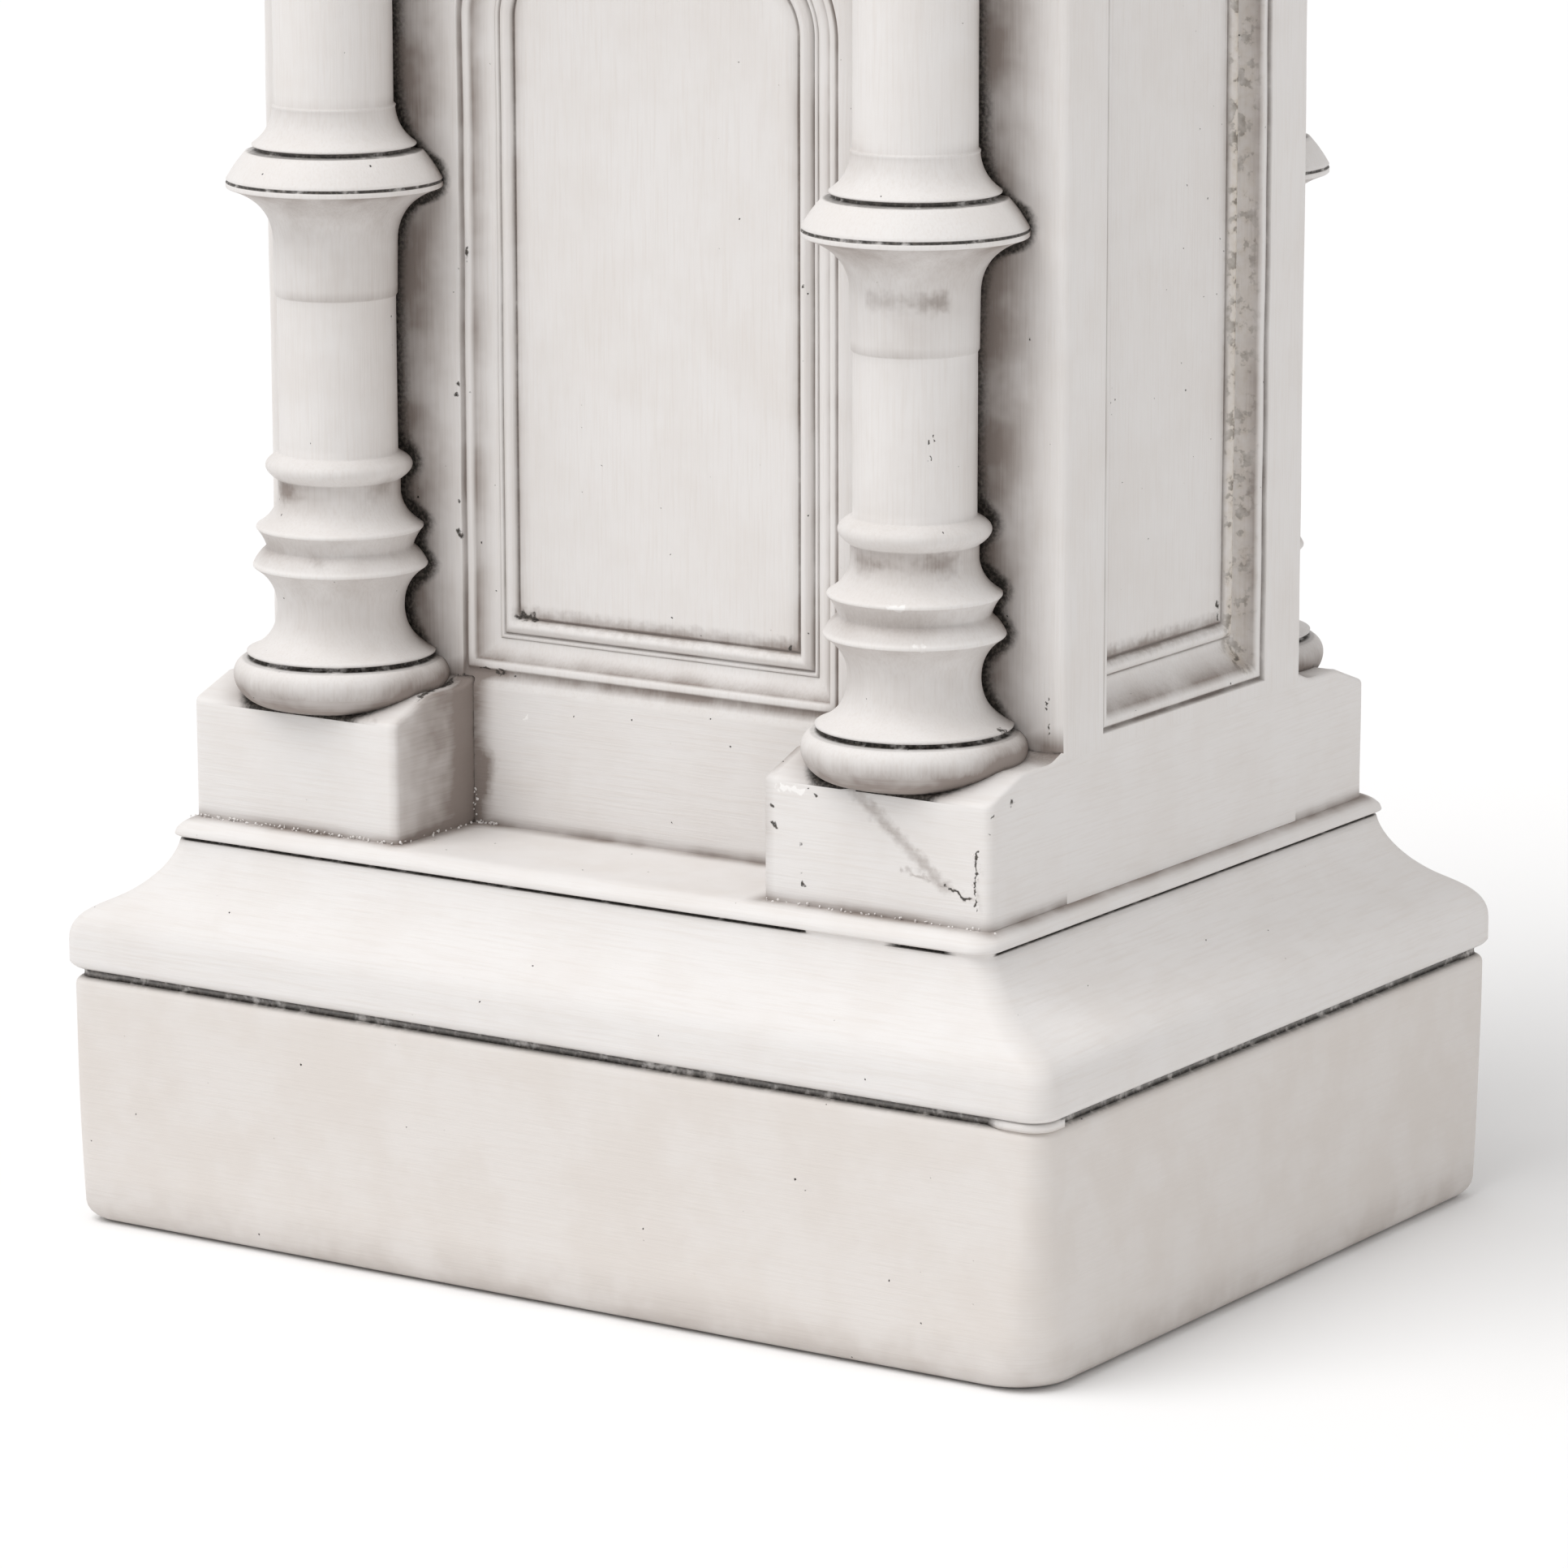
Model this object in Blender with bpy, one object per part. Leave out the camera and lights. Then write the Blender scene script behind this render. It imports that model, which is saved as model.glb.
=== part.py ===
"""Column plant stand: a gothic pedestal, cast in one with its plinth, colonnettes and cornice.

Metres, +Z up. The origin is the centre of the underside, and the front, with its wide arched panel,
faces -Y.
"""

import math

import bmesh
import bpy
from mathutils import Vector

# Plinth block
PLINTH_WIDTH = 0.340
PLINTH_DEPTH = 0.258
PLINTH_HEIGHT = 0.0755
PLINTH_DRAFT = 0.001
PLINTH_FOOT_ROUND = 0.006
PLINTH_ARRIS = 0.0025
CORNER_ROUND = 0.0055
CORNER_ROUND_FOOT = 0.0070
WORN_CORNER_ROUND = 0.007
WORN_CORNER_ROUND_FOOT = 0.016

# Ogee moulding between its two grooves, the same at the foot and, upside down, in the cornice
WIDE_GROOVE_HEIGHT = 0.0022
NARROW_GROOVE_HEIGHT = 0.0011
GROOVE_CUT = 0.0021
LIP_OVERHANG = 0.0012
LIP_HEIGHT = 0.0088
LIP_UNDERCUT = 0.0022
LIP_BULGE = 0.15
OGEE_HEIGHT = 0.0311
OGEE_TOP_WIDTH = 0.2834
OGEE_TOP_DEPTH = 0.2266
# Both halves of the ogee, as shares of its run inwards and of its height
OGEE_CONVEX = ((0, 0), (0, 0.24), (0.22, 0.313), (0.42, 0.405))
OGEE_CONCAVE = ((0.42, 0.405), (0.68, 0.525), (0.94, 0.75), (1, 1))

# Fillet slab above the narrow groove
FILLET_OVERHANG = 0.0012
FILLET_EDGE = 0.0014
FILLET_SLOPE_HEIGHT = 0.0036
FILLET_SLOPE_RUN = 0.0042
FILLET_SLOPE_BULGE = -0.12

# Body
BODY_WIDTH = 0.2772
BODY_DEPTH = 0.1360
BODY_EDGE_ROUND = 0.002

# Blocks under and over the colonnettes
BLOCK_WIDTH = 0.0747
BLOCK_REACH = 0.0381
BLOCK_FRONT_HEIGHT = 0.0355
BLOCK_SLOPE_RISE = 0.0060
BLOCK_SLOPE_RUN = 0.0170
BLOCK_EDGE_ROUND = 0.0022
TOP_BLOCK_HEIGHT = 0.0420

# Colonnettes: radii, and heights one above the other
SHAFT_SPREAD = 0.1998
SHAFT_STANDOFF = 0.0161
TORUS_RADIUS = 0.0318
TORUS_HEIGHT = 0.0132
TORUS_SEAT_RADIUS = 0.0215
TORUS_TOP_RADIUS = 0.0296
TORUS_REACH = 0.0356
TORUS_FOOT_DROP = 0.1
TORUS_HEAD_RISE = 0.7
BASE_GROOVE_RADIUS = 0.0265
BASE_GROOVE_HEIGHT = 0.0022
FLARE_RADIUS = 0.0280
WAIST_RADIUS = 0.0188
WAIST_HEIGHT = 0.0130
LOWER_RING_RADIUS = 0.0257
LOWER_RING_HEIGHT = 0.0130
RING_NOTCH_RADIUS = 0.0216
RING_NOTCH_HEIGHT = 0.0052
UPPER_RING_RADIUS = 0.0246
UPPER_RING_HEIGHT = 0.0058
NECK_RADIUS = 0.0181
NECK_HEIGHT = 0.0094
NECK_TO_ASTRAGAL = 0.0047
ASTRAGAL_RADIUS = 0.0216
ASTRAGAL_HEIGHT = 0.0080
SHAFT_RADIUS = 0.0175
LOWER_SHAFT_HEIGHT = 0.0463
BELL_FOOT_RADIUS = 0.0180
BELL_STEP_HEIGHT = 0.0006
BELL_NECK_RADIUS = 0.0182
BELL_NECK_HEIGHT = 0.0155
BELL_HEIGHT = 0.0317
BELL_NECK_SHARE = 0.8
BELL_RIM_SHARE = 0.93
ANNULET_RADIUS = 0.0318
ANNULET_EDGE = 0.0022
ANNULET_CONE_HEIGHT = 0.0082
ANNULET_TOP_RADIUS = 0.0258
COLLAR_GROOVE_RADIUS = 0.0230
COLLAR_GROOVE_HEIGHT = 0.0014
COLLAR_RADIUS = 0.0241
COLLAR_HEIGHT = 0.0118
UPPER_SHAFT_HEIGHT = 0.0970
CAPITAL_ASTRAGAL_RADIUS = 0.0205
CAPITAL_ASTRAGAL_HEIGHT = 0.0050
CAPITAL_RADIUS = 0.0290
CAPITAL_HEIGHT = 0.0230
ABACUS_RADIUS = 0.0318
ABACUS_HEIGHT = 0.0090
WEB_WIDTH = 0.018
TURNED_SIDES = 16

# Sunk panels, with a Tudor arch of four arcs
FRONT_PANEL_WIDTH = 0.1320
FRONT_PANEL_SHIFT = -0.0018
FRONT_PANEL_FOOT = 0.1645
FRONT_SILL_RISE = 0.0042
FRONT_SHOULDER_RADIUS = 0.034
FRONT_ARCH_RADIUS = 0.120
SIDE_PANEL_WIDTH = 0.0920
SIDE_PANEL_FOOT = 0.1690
SIDE_SILL_RISE = 0.0064
SIDE_SHOULDER_RADIUS = 0.024
SIDE_ARCH_RADIUS = 0.090
FRONT_SPRINGING = 0.3610
SIDE_SPRINGING = 0.3845
SHOULDER_TURN = math.radians(50)

# Frame of a panel, from its outline inwards
OUTLINE_GROOVE_WIDTH = 0.0016
OUTLINE_GROOVE_DEPTH = 0.0018
FRAME_FILLET_WIDTH = 0.0020
FRAME_FILLET_DEPTH = 0.0009
FRONT_COVE_WIDTH = 0.0078
SIDE_COVE_WIDTH = 0.0030
COVE_START_DEPTH = 0.0022
BEAD_WIDTH = 0.0046
BEAD_RISE = 0.0019
QUIRK_DEPTH = 0.0005
FRONT_FIELD_DEPTH = 0.0055
SIDE_FIELD_DEPTH = 0.0082

# Cornice slab, on which the pot stands
SLAB_WIDTH = 0.340
SLAB_DEPTH = 0.258
SLAB_HEIGHT = 0.0505
SLAB_EDGE_ROUND = 0.003

OVERLAP = 0.003
CORNER_STEPS = 3
CORNERS = [CORNER_ROUND] * 3 + [WORN_CORNER_ROUND]
FOOT_CORNERS = [CORNER_ROUND_FOOT] * 3 + [WORN_CORNER_ROUND_FOOT]

GROOVE_FLOOR = PLINTH_HEIGHT + WIDE_GROOVE_HEIGHT
OGEE_FOOT = GROOVE_FLOOR + LIP_HEIGHT
OGEE_TOP = OGEE_FOOT + OGEE_HEIGHT
FILLET_FOOT = OGEE_TOP + NARROW_GROOVE_HEIGHT
LEDGE = FILLET_FOOT + FILLET_EDGE + FILLET_SLOPE_HEIGHT
BLOCK_TOP = LEDGE + BLOCK_FRONT_HEIGHT + BLOCK_SLOPE_RISE
BLOCK_FRONT = BODY_DEPTH / 2 + BLOCK_REACH


def bezier(start, first, second, end, steps):
    """Points of a cubic curve after its start, in any number of coordinates."""
    found = []
    for step in range(1, steps + 1):
        t = step / steps
        weights = ((1 - t) ** 3, 3 * t * (1 - t) ** 2, 3 * t * t * (1 - t), t**3)
        found.append(
            tuple(
                sum(weight * value for weight, value in zip(weights, values))
                for values in zip(start, first, second, end)
            )
        )
    return found


def bulged(start, end, bulge, steps):
    """Points after start on an arc to end, which stands out from its chord by bulge chord lengths.

    In a profile of (radius, height) that climbs, a positive bulge is convex.
    """
    (r0, z0), (r1, z1) = start, end
    across = (z1 - z0, r0 - r1)
    found = []
    for step in range(1, steps + 1):
        t = step / steps
        rise = 4 * bulge * t * (1 - t)
        found.append((r0 + (r1 - r0) * t + rise * across[0], z0 + (z1 - z0) * t + rise * across[1]))
    return found


def rounded_rectangle(half_x, half_y, radii, height):
    """Ring of points, anticlockwise from above. The radii end with the front right corner, the worn one."""
    ring = []
    for corner, radius in enumerate(radii):
        sign_x = 1 if corner in (0, 3) else -1
        sign_y = 1 if corner in (0, 1) else -1
        for step in range(CORNER_STEPS + 1):
            angle = math.pi / 2 * (corner + step / CORNER_STEPS)
            ring.append(
                Vector(
                    (
                        sign_x * (half_x - radius) + radius * math.cos(angle),
                        sign_y * (half_y - radius) + radius * math.sin(angle),
                        height,
                    )
                )
            )
    return ring


def object_of(name, mesh_builder):
    """Object from a bmesh, with its faces turned outwards, hidden because it feeds a Boolean."""
    bmesh.ops.recalc_face_normals(mesh_builder, faces=mesh_builder.faces)
    mesh = bpy.data.meshes.new(name)
    mesh_builder.to_mesh(mesh)
    mesh_builder.free()
    obj = bpy.data.objects.new(name, mesh)
    obj.hide_render = True
    obj.display_type = "WIRE"
    return obj


def loft(name, rings):
    """Closed solid through rings of equally many points, capped at both ends."""
    builder = bmesh.new()
    rows = [[builder.verts.new(point) for point in ring] for ring in rings]
    count = len(rows[0])
    for below, above in zip(rows, rows[1:]):
        for i in range(count):
            j = (i + 1) % count
            builder.faces.new((below[i], below[j], above[j], above[i]))
    builder.faces.new(reversed(rows[0]))
    builder.faces.new(rows[-1])
    return object_of(name, builder)


def turned(name, profile, place):
    """Closed solid of revolution about a vertical line through place."""
    rings = []
    for radius, height in profile:
        ring = []
        for side in range(TURNED_SIDES):
            angle = math.tau * (side + 0.5) / TURNED_SIDES
            ring.append(
                Vector((place.x + radius * math.cos(angle), place.y + radius * math.sin(angle), height))
            )
        rings.append(ring)
    return loft(name, rings)


def plinth_rings():
    """Rings of the plinth block, with a worn foot and front corner."""
    rings = []
    half_x = PLINTH_WIDTH / 2
    half_y = PLINTH_DEPTH / 2
    levels = []
    foot_steps = 3
    for step in range(foot_steps + 1):
        angle = math.pi / 2 * step / foot_steps
        inset = PLINTH_FOOT_ROUND * (1 - math.sin(angle))
        levels.append((PLINTH_FOOT_ROUND * (1 - math.cos(angle)), inset))
    wall_steps = 4
    wall_top = PLINTH_HEIGHT - PLINTH_ARRIS
    for step in range(1, wall_steps + 1):
        levels.append((PLINTH_FOOT_ROUND + (wall_top - PLINTH_FOOT_ROUND) * step / wall_steps, 0))
    levels.append((PLINTH_HEIGHT, PLINTH_ARRIS))
    for height, inset in levels:
        worn = max(0, 1 - height / wall_top) ** 2
        radii = [above + (below - above) * worn for above, below in zip(CORNERS, FOOT_CORNERS)]
        inset += PLINTH_DRAFT * worn
        rings.append(rounded_rectangle(half_x - inset, half_y - inset, radii, height))
    return rings


def ogee_levels(slab_x, slab_y):
    """(half x, half y, height) from the wide groove, over the lip and the ogee, to the fillet's top."""
    lip_x = slab_x + LIP_OVERHANG
    lip_y = slab_y + LIP_OVERHANG
    top_x = OGEE_TOP_WIDTH / 2
    top_y = OGEE_TOP_DEPTH / 2
    floor_x = slab_x - GROOVE_CUT
    floor_y = slab_y - GROOVE_CUT
    low = -WIDE_GROOVE_HEIGHT
    levels = [(floor_x, floor_y, low), (floor_x, floor_y, 0)]
    lip_curve = bulged((-GROOVE_CUT, 0), (LIP_OVERHANG, LIP_UNDERCUT), LIP_BULGE, 2)
    for out, height in lip_curve:
        levels.append((slab_x + out, slab_y + out, height))
    levels.append((lip_x, lip_y, LIP_HEIGHT))
    half_steps = 4
    for inset, rise in bezier(*OGEE_CONVEX, half_steps) + bezier(*OGEE_CONCAVE, half_steps):
        levels.append(
            (
                lip_x + (top_x - lip_x) * inset,
                lip_y + (top_y - lip_y) * inset,
                LIP_HEIGHT + OGEE_HEIGHT * rise,
            )
        )
    height = LIP_HEIGHT + OGEE_HEIGHT
    levels.append((top_x - GROOVE_CUT, top_y - GROOVE_CUT, height))
    height += NARROW_GROOVE_HEIGHT
    levels.append((top_x - GROOVE_CUT, top_y - GROOVE_CUT, height))
    edge_x = top_x + FILLET_OVERHANG
    edge_y = top_y + FILLET_OVERHANG
    levels.append((edge_x, edge_y, height))
    height += FILLET_EDGE
    slope = bulged((0, height), (-FILLET_SLOPE_RUN, height + FILLET_SLOPE_HEIGHT), FILLET_SLOPE_BULGE, 2)
    levels.append((edge_x, edge_y, height))
    for inset, level in slope:
        levels.append((edge_x + inset, edge_y + inset, level))
    return levels


def foot():
    """Plinth block, ogee moulding and fillet."""
    rings = plinth_rings()
    for half_x, half_y, height in ogee_levels(PLINTH_WIDTH / 2, PLINTH_DEPTH / 2):
        rings.append(rounded_rectangle(half_x, half_y, CORNERS, GROOVE_FLOOR + height))
    return loft("foot", rings)


def cornice(top_block_top):
    """Fillet, ogee and groove of the foot turned over, under a flat slab."""
    levels = ogee_levels(SLAB_WIDTH / 2, SLAB_DEPTH / 2)
    reach = levels[-1][2]
    rings = []
    for half_x, half_y, height in reversed(levels):
        level = top_block_top + reach - height
        rings.append(rounded_rectangle(half_x, half_y, CORNERS, level))
    slab_foot = top_block_top + reach + WIDE_GROOVE_HEIGHT
    slab_top = slab_foot + SLAB_HEIGHT
    half_x = SLAB_WIDTH / 2
    half_y = SLAB_DEPTH / 2
    soft = SLAB_EDGE_ROUND * (1 - math.sqrt(0.5))
    for inset, height in (
        (SLAB_EDGE_ROUND / 2, slab_foot),
        (0, slab_foot + SLAB_EDGE_ROUND / 2),
        (0, slab_top - SLAB_EDGE_ROUND),
        (soft, slab_top - soft),
        (SLAB_EDGE_ROUND, slab_top),
    ):
        rings.append(rounded_rectangle(half_x - inset, half_y - inset, CORNERS, height))
    return loft("cornice", rings)


def body(top_block_top):
    """Plain shaft of the pedestal, from inside the fillet to inside the cornice."""
    rings = [
        rounded_rectangle(BODY_WIDTH / 2, BODY_DEPTH / 2, [BODY_EDGE_ROUND] * 4, height)
        for height in (LEDGE - OVERLAP, top_block_top + OVERLAP)
    ]
    return loft("body", rings)


def block(name, sign_x, sign_y, outline):
    """Block of a colonnette: an outline of (distance from the wall, height) run along X."""
    builder = bmesh.new()
    outer = BODY_WIDTH / 2
    ends = []
    for x in (outer - BLOCK_WIDTH, outer):
        ends.append(
            [builder.verts.new((sign_x * x, sign_y * (BODY_DEPTH / 2 + y), z)) for y, z in outline]
        )
    builder.faces.new(ends[0])
    builder.faces.new(reversed(ends[1]))
    count = len(outline)
    for i in range(count):
        j = (i + 1) % count
        builder.faces.new((ends[0][i], ends[1][i], ends[1][j], ends[0][j]))
    front = [
        edge
        for edge in builder.edges
        if all(abs(vert.co.y) > BLOCK_FRONT - BLOCK_EDGE_ROUND for vert in edge.verts)
    ]
    bmesh.ops.bevel(builder, geom=front, offset=BLOCK_EDGE_ROUND, segments=2, affect="EDGES")
    return object_of(name, builder)


def low_block_outline():
    low = LEDGE - OVERLAP
    front_top = LEDGE + BLOCK_FRONT_HEIGHT
    return (
        (-OVERLAP, low),
        (BLOCK_REACH, low),
        (BLOCK_REACH, front_top),
        (BLOCK_REACH - BLOCK_SLOPE_RUN, front_top + BLOCK_SLOPE_RISE),
        (-OVERLAP, front_top + BLOCK_SLOPE_RISE),
    )


def top_block_outline(top_block_top):
    low = top_block_top - TOP_BLOCK_HEIGHT
    high = top_block_top + OVERLAP
    return ((-OVERLAP, low), (BLOCK_REACH, low), (BLOCK_REACH, high), (-OVERLAP, high))


def colonnette_profile():
    """(radius, height) of the turned colonnette, from inside its low block to inside its top one."""
    height = BLOCK_TOP - BLOCK_SLOPE_RISE - OVERLAP
    profile = [(TORUS_SEAT_RADIUS, height)]
    height += OVERLAP
    seat = (TORUS_SEAT_RADIUS, height)
    profile.append(seat)
    profile += bezier(
        seat,
        (TORUS_TOP_RADIUS, height - TORUS_HEIGHT * TORUS_FOOT_DROP),
        (TORUS_REACH, height + TORUS_HEIGHT * TORUS_HEAD_RISE),
        (TORUS_TOP_RADIUS, height + TORUS_HEIGHT),
        6,
    )
    height += TORUS_HEIGHT + BASE_GROOVE_HEIGHT
    profile.append((BASE_GROOVE_RADIUS, height - BASE_GROOVE_HEIGHT))
    profile.append((BASE_GROOVE_RADIUS, height - BASE_GROOVE_HEIGHT / 2))
    profile.append((FLARE_RADIUS, height))
    for radius, rise, bulge, steps in (
        (WAIST_RADIUS, WAIST_HEIGHT, -0.17, 3),
        (LOWER_RING_RADIUS, LOWER_RING_HEIGHT, -0.14, 3),
        (RING_NOTCH_RADIUS, RING_NOTCH_HEIGHT, 0.10, 2),
        (UPPER_RING_RADIUS, UPPER_RING_HEIGHT, -0.05, 1),
        (NECK_RADIUS, NECK_HEIGHT, -0.12, 2),
    ):
        end = (radius, height + rise)
        profile += bulged((profile[-1][0], height), end, bulge, steps)
        height += rise
    height += NECK_TO_ASTRAGAL
    profile += astragal(NECK_RADIUS, SHAFT_RADIUS, ASTRAGAL_RADIUS, ASTRAGAL_HEIGHT, height)
    height += ASTRAGAL_HEIGHT + LOWER_SHAFT_HEIGHT
    profile.append((SHAFT_RADIUS, height))
    profile.append((BELL_FOOT_RADIUS, height + BELL_STEP_HEIGHT))
    profile += bell(height)
    height += BELL_HEIGHT + ANNULET_EDGE + ANNULET_CONE_HEIGHT
    profile.append((COLLAR_GROOVE_RADIUS, height + COLLAR_GROOVE_HEIGHT / 2))
    height += COLLAR_GROOVE_HEIGHT
    profile.append((COLLAR_RADIUS, height))
    profile += bulged((COLLAR_RADIUS, height), (SHAFT_RADIUS, height + COLLAR_HEIGHT), -0.12, 2)
    return profile, height + COLLAR_HEIGHT


def astragal(radius_below, radius_above, radius, thickness, height):
    """Half-round ring on the shaft."""
    mid = (radius_below + radius_above) / 2
    curve = bulged((mid, height), (mid, height + thickness), (radius - mid) / thickness, 4)
    return [(radius_below, height)] + curve[:-1] + [(radius_above, height + thickness)]


def bell(height):
    """Trumpet that opens into the annulet, and the cone on it."""
    neck = (BELL_NECK_RADIUS, height + BELL_NECK_HEIGHT)
    rim = (ANNULET_RADIUS, height + BELL_HEIGHT)
    points = [neck]
    points += bezier(
        neck,
        (BELL_NECK_RADIUS, height + BELL_HEIGHT * BELL_NECK_SHARE),
        ((ANNULET_RADIUS + BELL_NECK_RADIUS) / 2, height + BELL_HEIGHT * BELL_RIM_SHARE),
        rim,
        3,
    )
    edge = (ANNULET_RADIUS, rim[1] + ANNULET_EDGE)
    points.append(edge)
    points.append((ANNULET_TOP_RADIUS, edge[1] + ANNULET_CONE_HEIGHT))
    return points


def capital_profile(height):
    """Upper shaft and the plain capital that the top block rests on."""
    height += UPPER_SHAFT_HEIGHT
    profile = [(SHAFT_RADIUS, height)]
    profile += astragal(
        SHAFT_RADIUS, SHAFT_RADIUS, CAPITAL_ASTRAGAL_RADIUS, CAPITAL_ASTRAGAL_HEIGHT, height
    )
    height += CAPITAL_ASTRAGAL_HEIGHT
    profile += bulged((SHAFT_RADIUS, height), (CAPITAL_RADIUS, height + CAPITAL_HEIGHT), -0.16, 3)
    height += CAPITAL_HEIGHT
    profile += bulged((CAPITAL_RADIUS, height), (CAPITAL_RADIUS, height + ABACUS_HEIGHT),
                      (ABACUS_RADIUS - CAPITAL_RADIUS) / ABACUS_HEIGHT, 4)
    height += ABACUS_HEIGHT
    profile.append((CAPITAL_RADIUS, height + OVERLAP))
    return profile[1:], height


def web(name, sign_x, sign_y, low, high):
    """Narrow web that joins a shaft to the wall behind it."""
    builder = bmesh.new()
    bmesh.ops.create_cube(builder, size=1)
    near = BODY_DEPTH / 2 - OVERLAP
    far = BODY_DEPTH / 2 + SHAFT_STANDOFF
    for vert in builder.verts:
        vert.co.x = sign_x * SHAFT_SPREAD / 2 + vert.co.x * WEB_WIDTH
        vert.co.y = sign_y * (near if vert.co.y < 0 else far)
        vert.co.z = low if vert.co.z < 0 else high
    return object_of(name, builder)


def frame_levels(cove_width, field_depth):
    """(distance inside the outline, depth) across a panel's frame."""
    levels = [(0, 0), (OUTLINE_GROOVE_WIDTH / 2, OUTLINE_GROOVE_DEPTH)]
    across = OUTLINE_GROOVE_WIDTH
    levels.append((across, FRAME_FILLET_DEPTH))
    across += FRAME_FILLET_WIDTH
    levels.append((across, FRAME_FILLET_DEPTH))
    levels.append((across + QUIRK_DEPTH, COVE_START_DEPTH))
    cove_end = across + cove_width
    for step in (0.5, 1.0):
        depth = COVE_START_DEPTH + (field_depth - COVE_START_DEPTH) * math.sin(step * math.pi / 2)
        levels.append((across + QUIRK_DEPTH + (cove_width - QUIRK_DEPTH) * step, depth))
    levels.append((cove_end + QUIRK_DEPTH, field_depth + QUIRK_DEPTH))
    bead_start = cove_end + QUIRK_DEPTH
    for step in (0.2, 0.5, 0.8):
        rise = BEAD_RISE * math.sin(step * math.pi)
        levels.append((bead_start + BEAD_WIDTH * step, field_depth - rise))
    levels.append((bead_start + BEAD_WIDTH, field_depth + QUIRK_DEPTH))
    levels.append((bead_start + BEAD_WIDTH + QUIRK_DEPTH, field_depth))
    return levels


def arch_outline(half_width, foot_height, arch, inset):
    """(across, height) points of a panel's outline moved in by inset: a Tudor arch on a square foot."""
    springing, shoulder, crown = arch
    shoulder_x = half_width - shoulder
    crown_x = shoulder_x - (crown - shoulder) * math.cos(SHOULDER_TURN)
    crown_z = springing - (crown - shoulder) * math.sin(SHOULDER_TURN)
    right = [(half_width - inset, foot_height)]
    steps = 4
    for step in range(steps + 1):
        angle = SHOULDER_TURN * step / steps
        reach = shoulder - inset
        right.append((shoulder_x + reach * math.cos(angle), springing + reach * math.sin(angle)))
    apex = math.acos(-crown_x / (crown - inset))
    for step in range(1, steps + 1):
        angle = SHOULDER_TURN + (apex - SHOULDER_TURN) * step / steps
        reach = crown - inset
        right.append((crown_x + reach * math.cos(angle), crown_z + reach * math.sin(angle)))
    left = [(-x, z) for x, z in reversed(right[:-1])]
    return right + left


def panel_cutter(name, width, foot_height, sill, arch, levels, place):
    """Solid that sinks a panel: rings in step with the frame's levels, from outside the wall inwards.

    sill is (rise, start, end): how far the sill climbs, and across which part of the frame. place turns
    (across, depth, height) into a point.
    """
    sill_rise, sill_start, sill_end = sill
    rings = []
    for inset, depth in [(0, -OVERLAP)] + levels:
        part = min(1, max(0, (inset - sill_start) / (sill_end - sill_start)))
        low = foot_height + inset + sill_rise * part
        outline = arch_outline(width / 2, low, arch, inset)
        rings.append([place(across, depth, height) for across, height in outline])
    return loft(name, rings)


def panel_cutters():
    cutters = []
    front_sill = (FRONT_SILL_RISE, 0, OUTLINE_GROOVE_WIDTH / 2)
    cove_start = OUTLINE_GROOVE_WIDTH + FRAME_FILLET_WIDTH
    side_sill = (SIDE_SILL_RISE, cove_start, cove_start + SIDE_COVE_WIDTH)
    for name, sign in (("front_panel", -1), ("back_panel", 1)):
        cutters.append(
            panel_cutter(
                name,
                FRONT_PANEL_WIDTH,
                FRONT_PANEL_FOOT,
                front_sill,
                (FRONT_SPRINGING, FRONT_SHOULDER_RADIUS, FRONT_ARCH_RADIUS),
                frame_levels(FRONT_COVE_WIDTH, FRONT_FIELD_DEPTH),
                lambda across, depth, height, sign=sign: Vector(
                    (FRONT_PANEL_SHIFT + across, sign * (BODY_DEPTH / 2 - depth), height)
                ),
            )
        )
    for name, sign in (("left_panel", -1), ("right_panel", 1)):
        cutters.append(
            panel_cutter(
                name,
                SIDE_PANEL_WIDTH,
                SIDE_PANEL_FOOT,
                side_sill,
                (SIDE_SPRINGING, SIDE_SHOULDER_RADIUS, SIDE_ARCH_RADIUS),
                frame_levels(SIDE_COVE_WIDTH, SIDE_FIELD_DEPTH),
                lambda across, depth, height, sign=sign: Vector(
                    (sign * (BODY_WIDTH / 2 - depth), across, height)
                ),
            )
        )
    return cutters


def gather(name, objects):
    """Collection that a Boolean takes its objects from."""
    found = bpy.data.collections.new(name)
    bpy.context.scene.collection.children.link(found)
    for obj in objects:
        found.objects.link(obj)
    return found


def boolean(obj, name, operation, collection):
    modifier = obj.modifiers.new(name, "BOOLEAN")
    modifier.operation = operation
    modifier.operand_type = "COLLECTION"
    modifier.collection = collection
    modifier.solver = "EXACT"


def antiqued_paint():
    """Off-white paint of the casting."""
    material = bpy.data.materials.new("antiqued_paint")
    material.use_nodes = True
    shader = material.node_tree.nodes["Principled BSDF"]
    shader.inputs["Base Color"].default_value = (0.72, 0.69, 0.66, 1)
    shader.inputs["Roughness"].default_value = 0.62
    shader.inputs["Metallic"].default_value = 0
    return material


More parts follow.
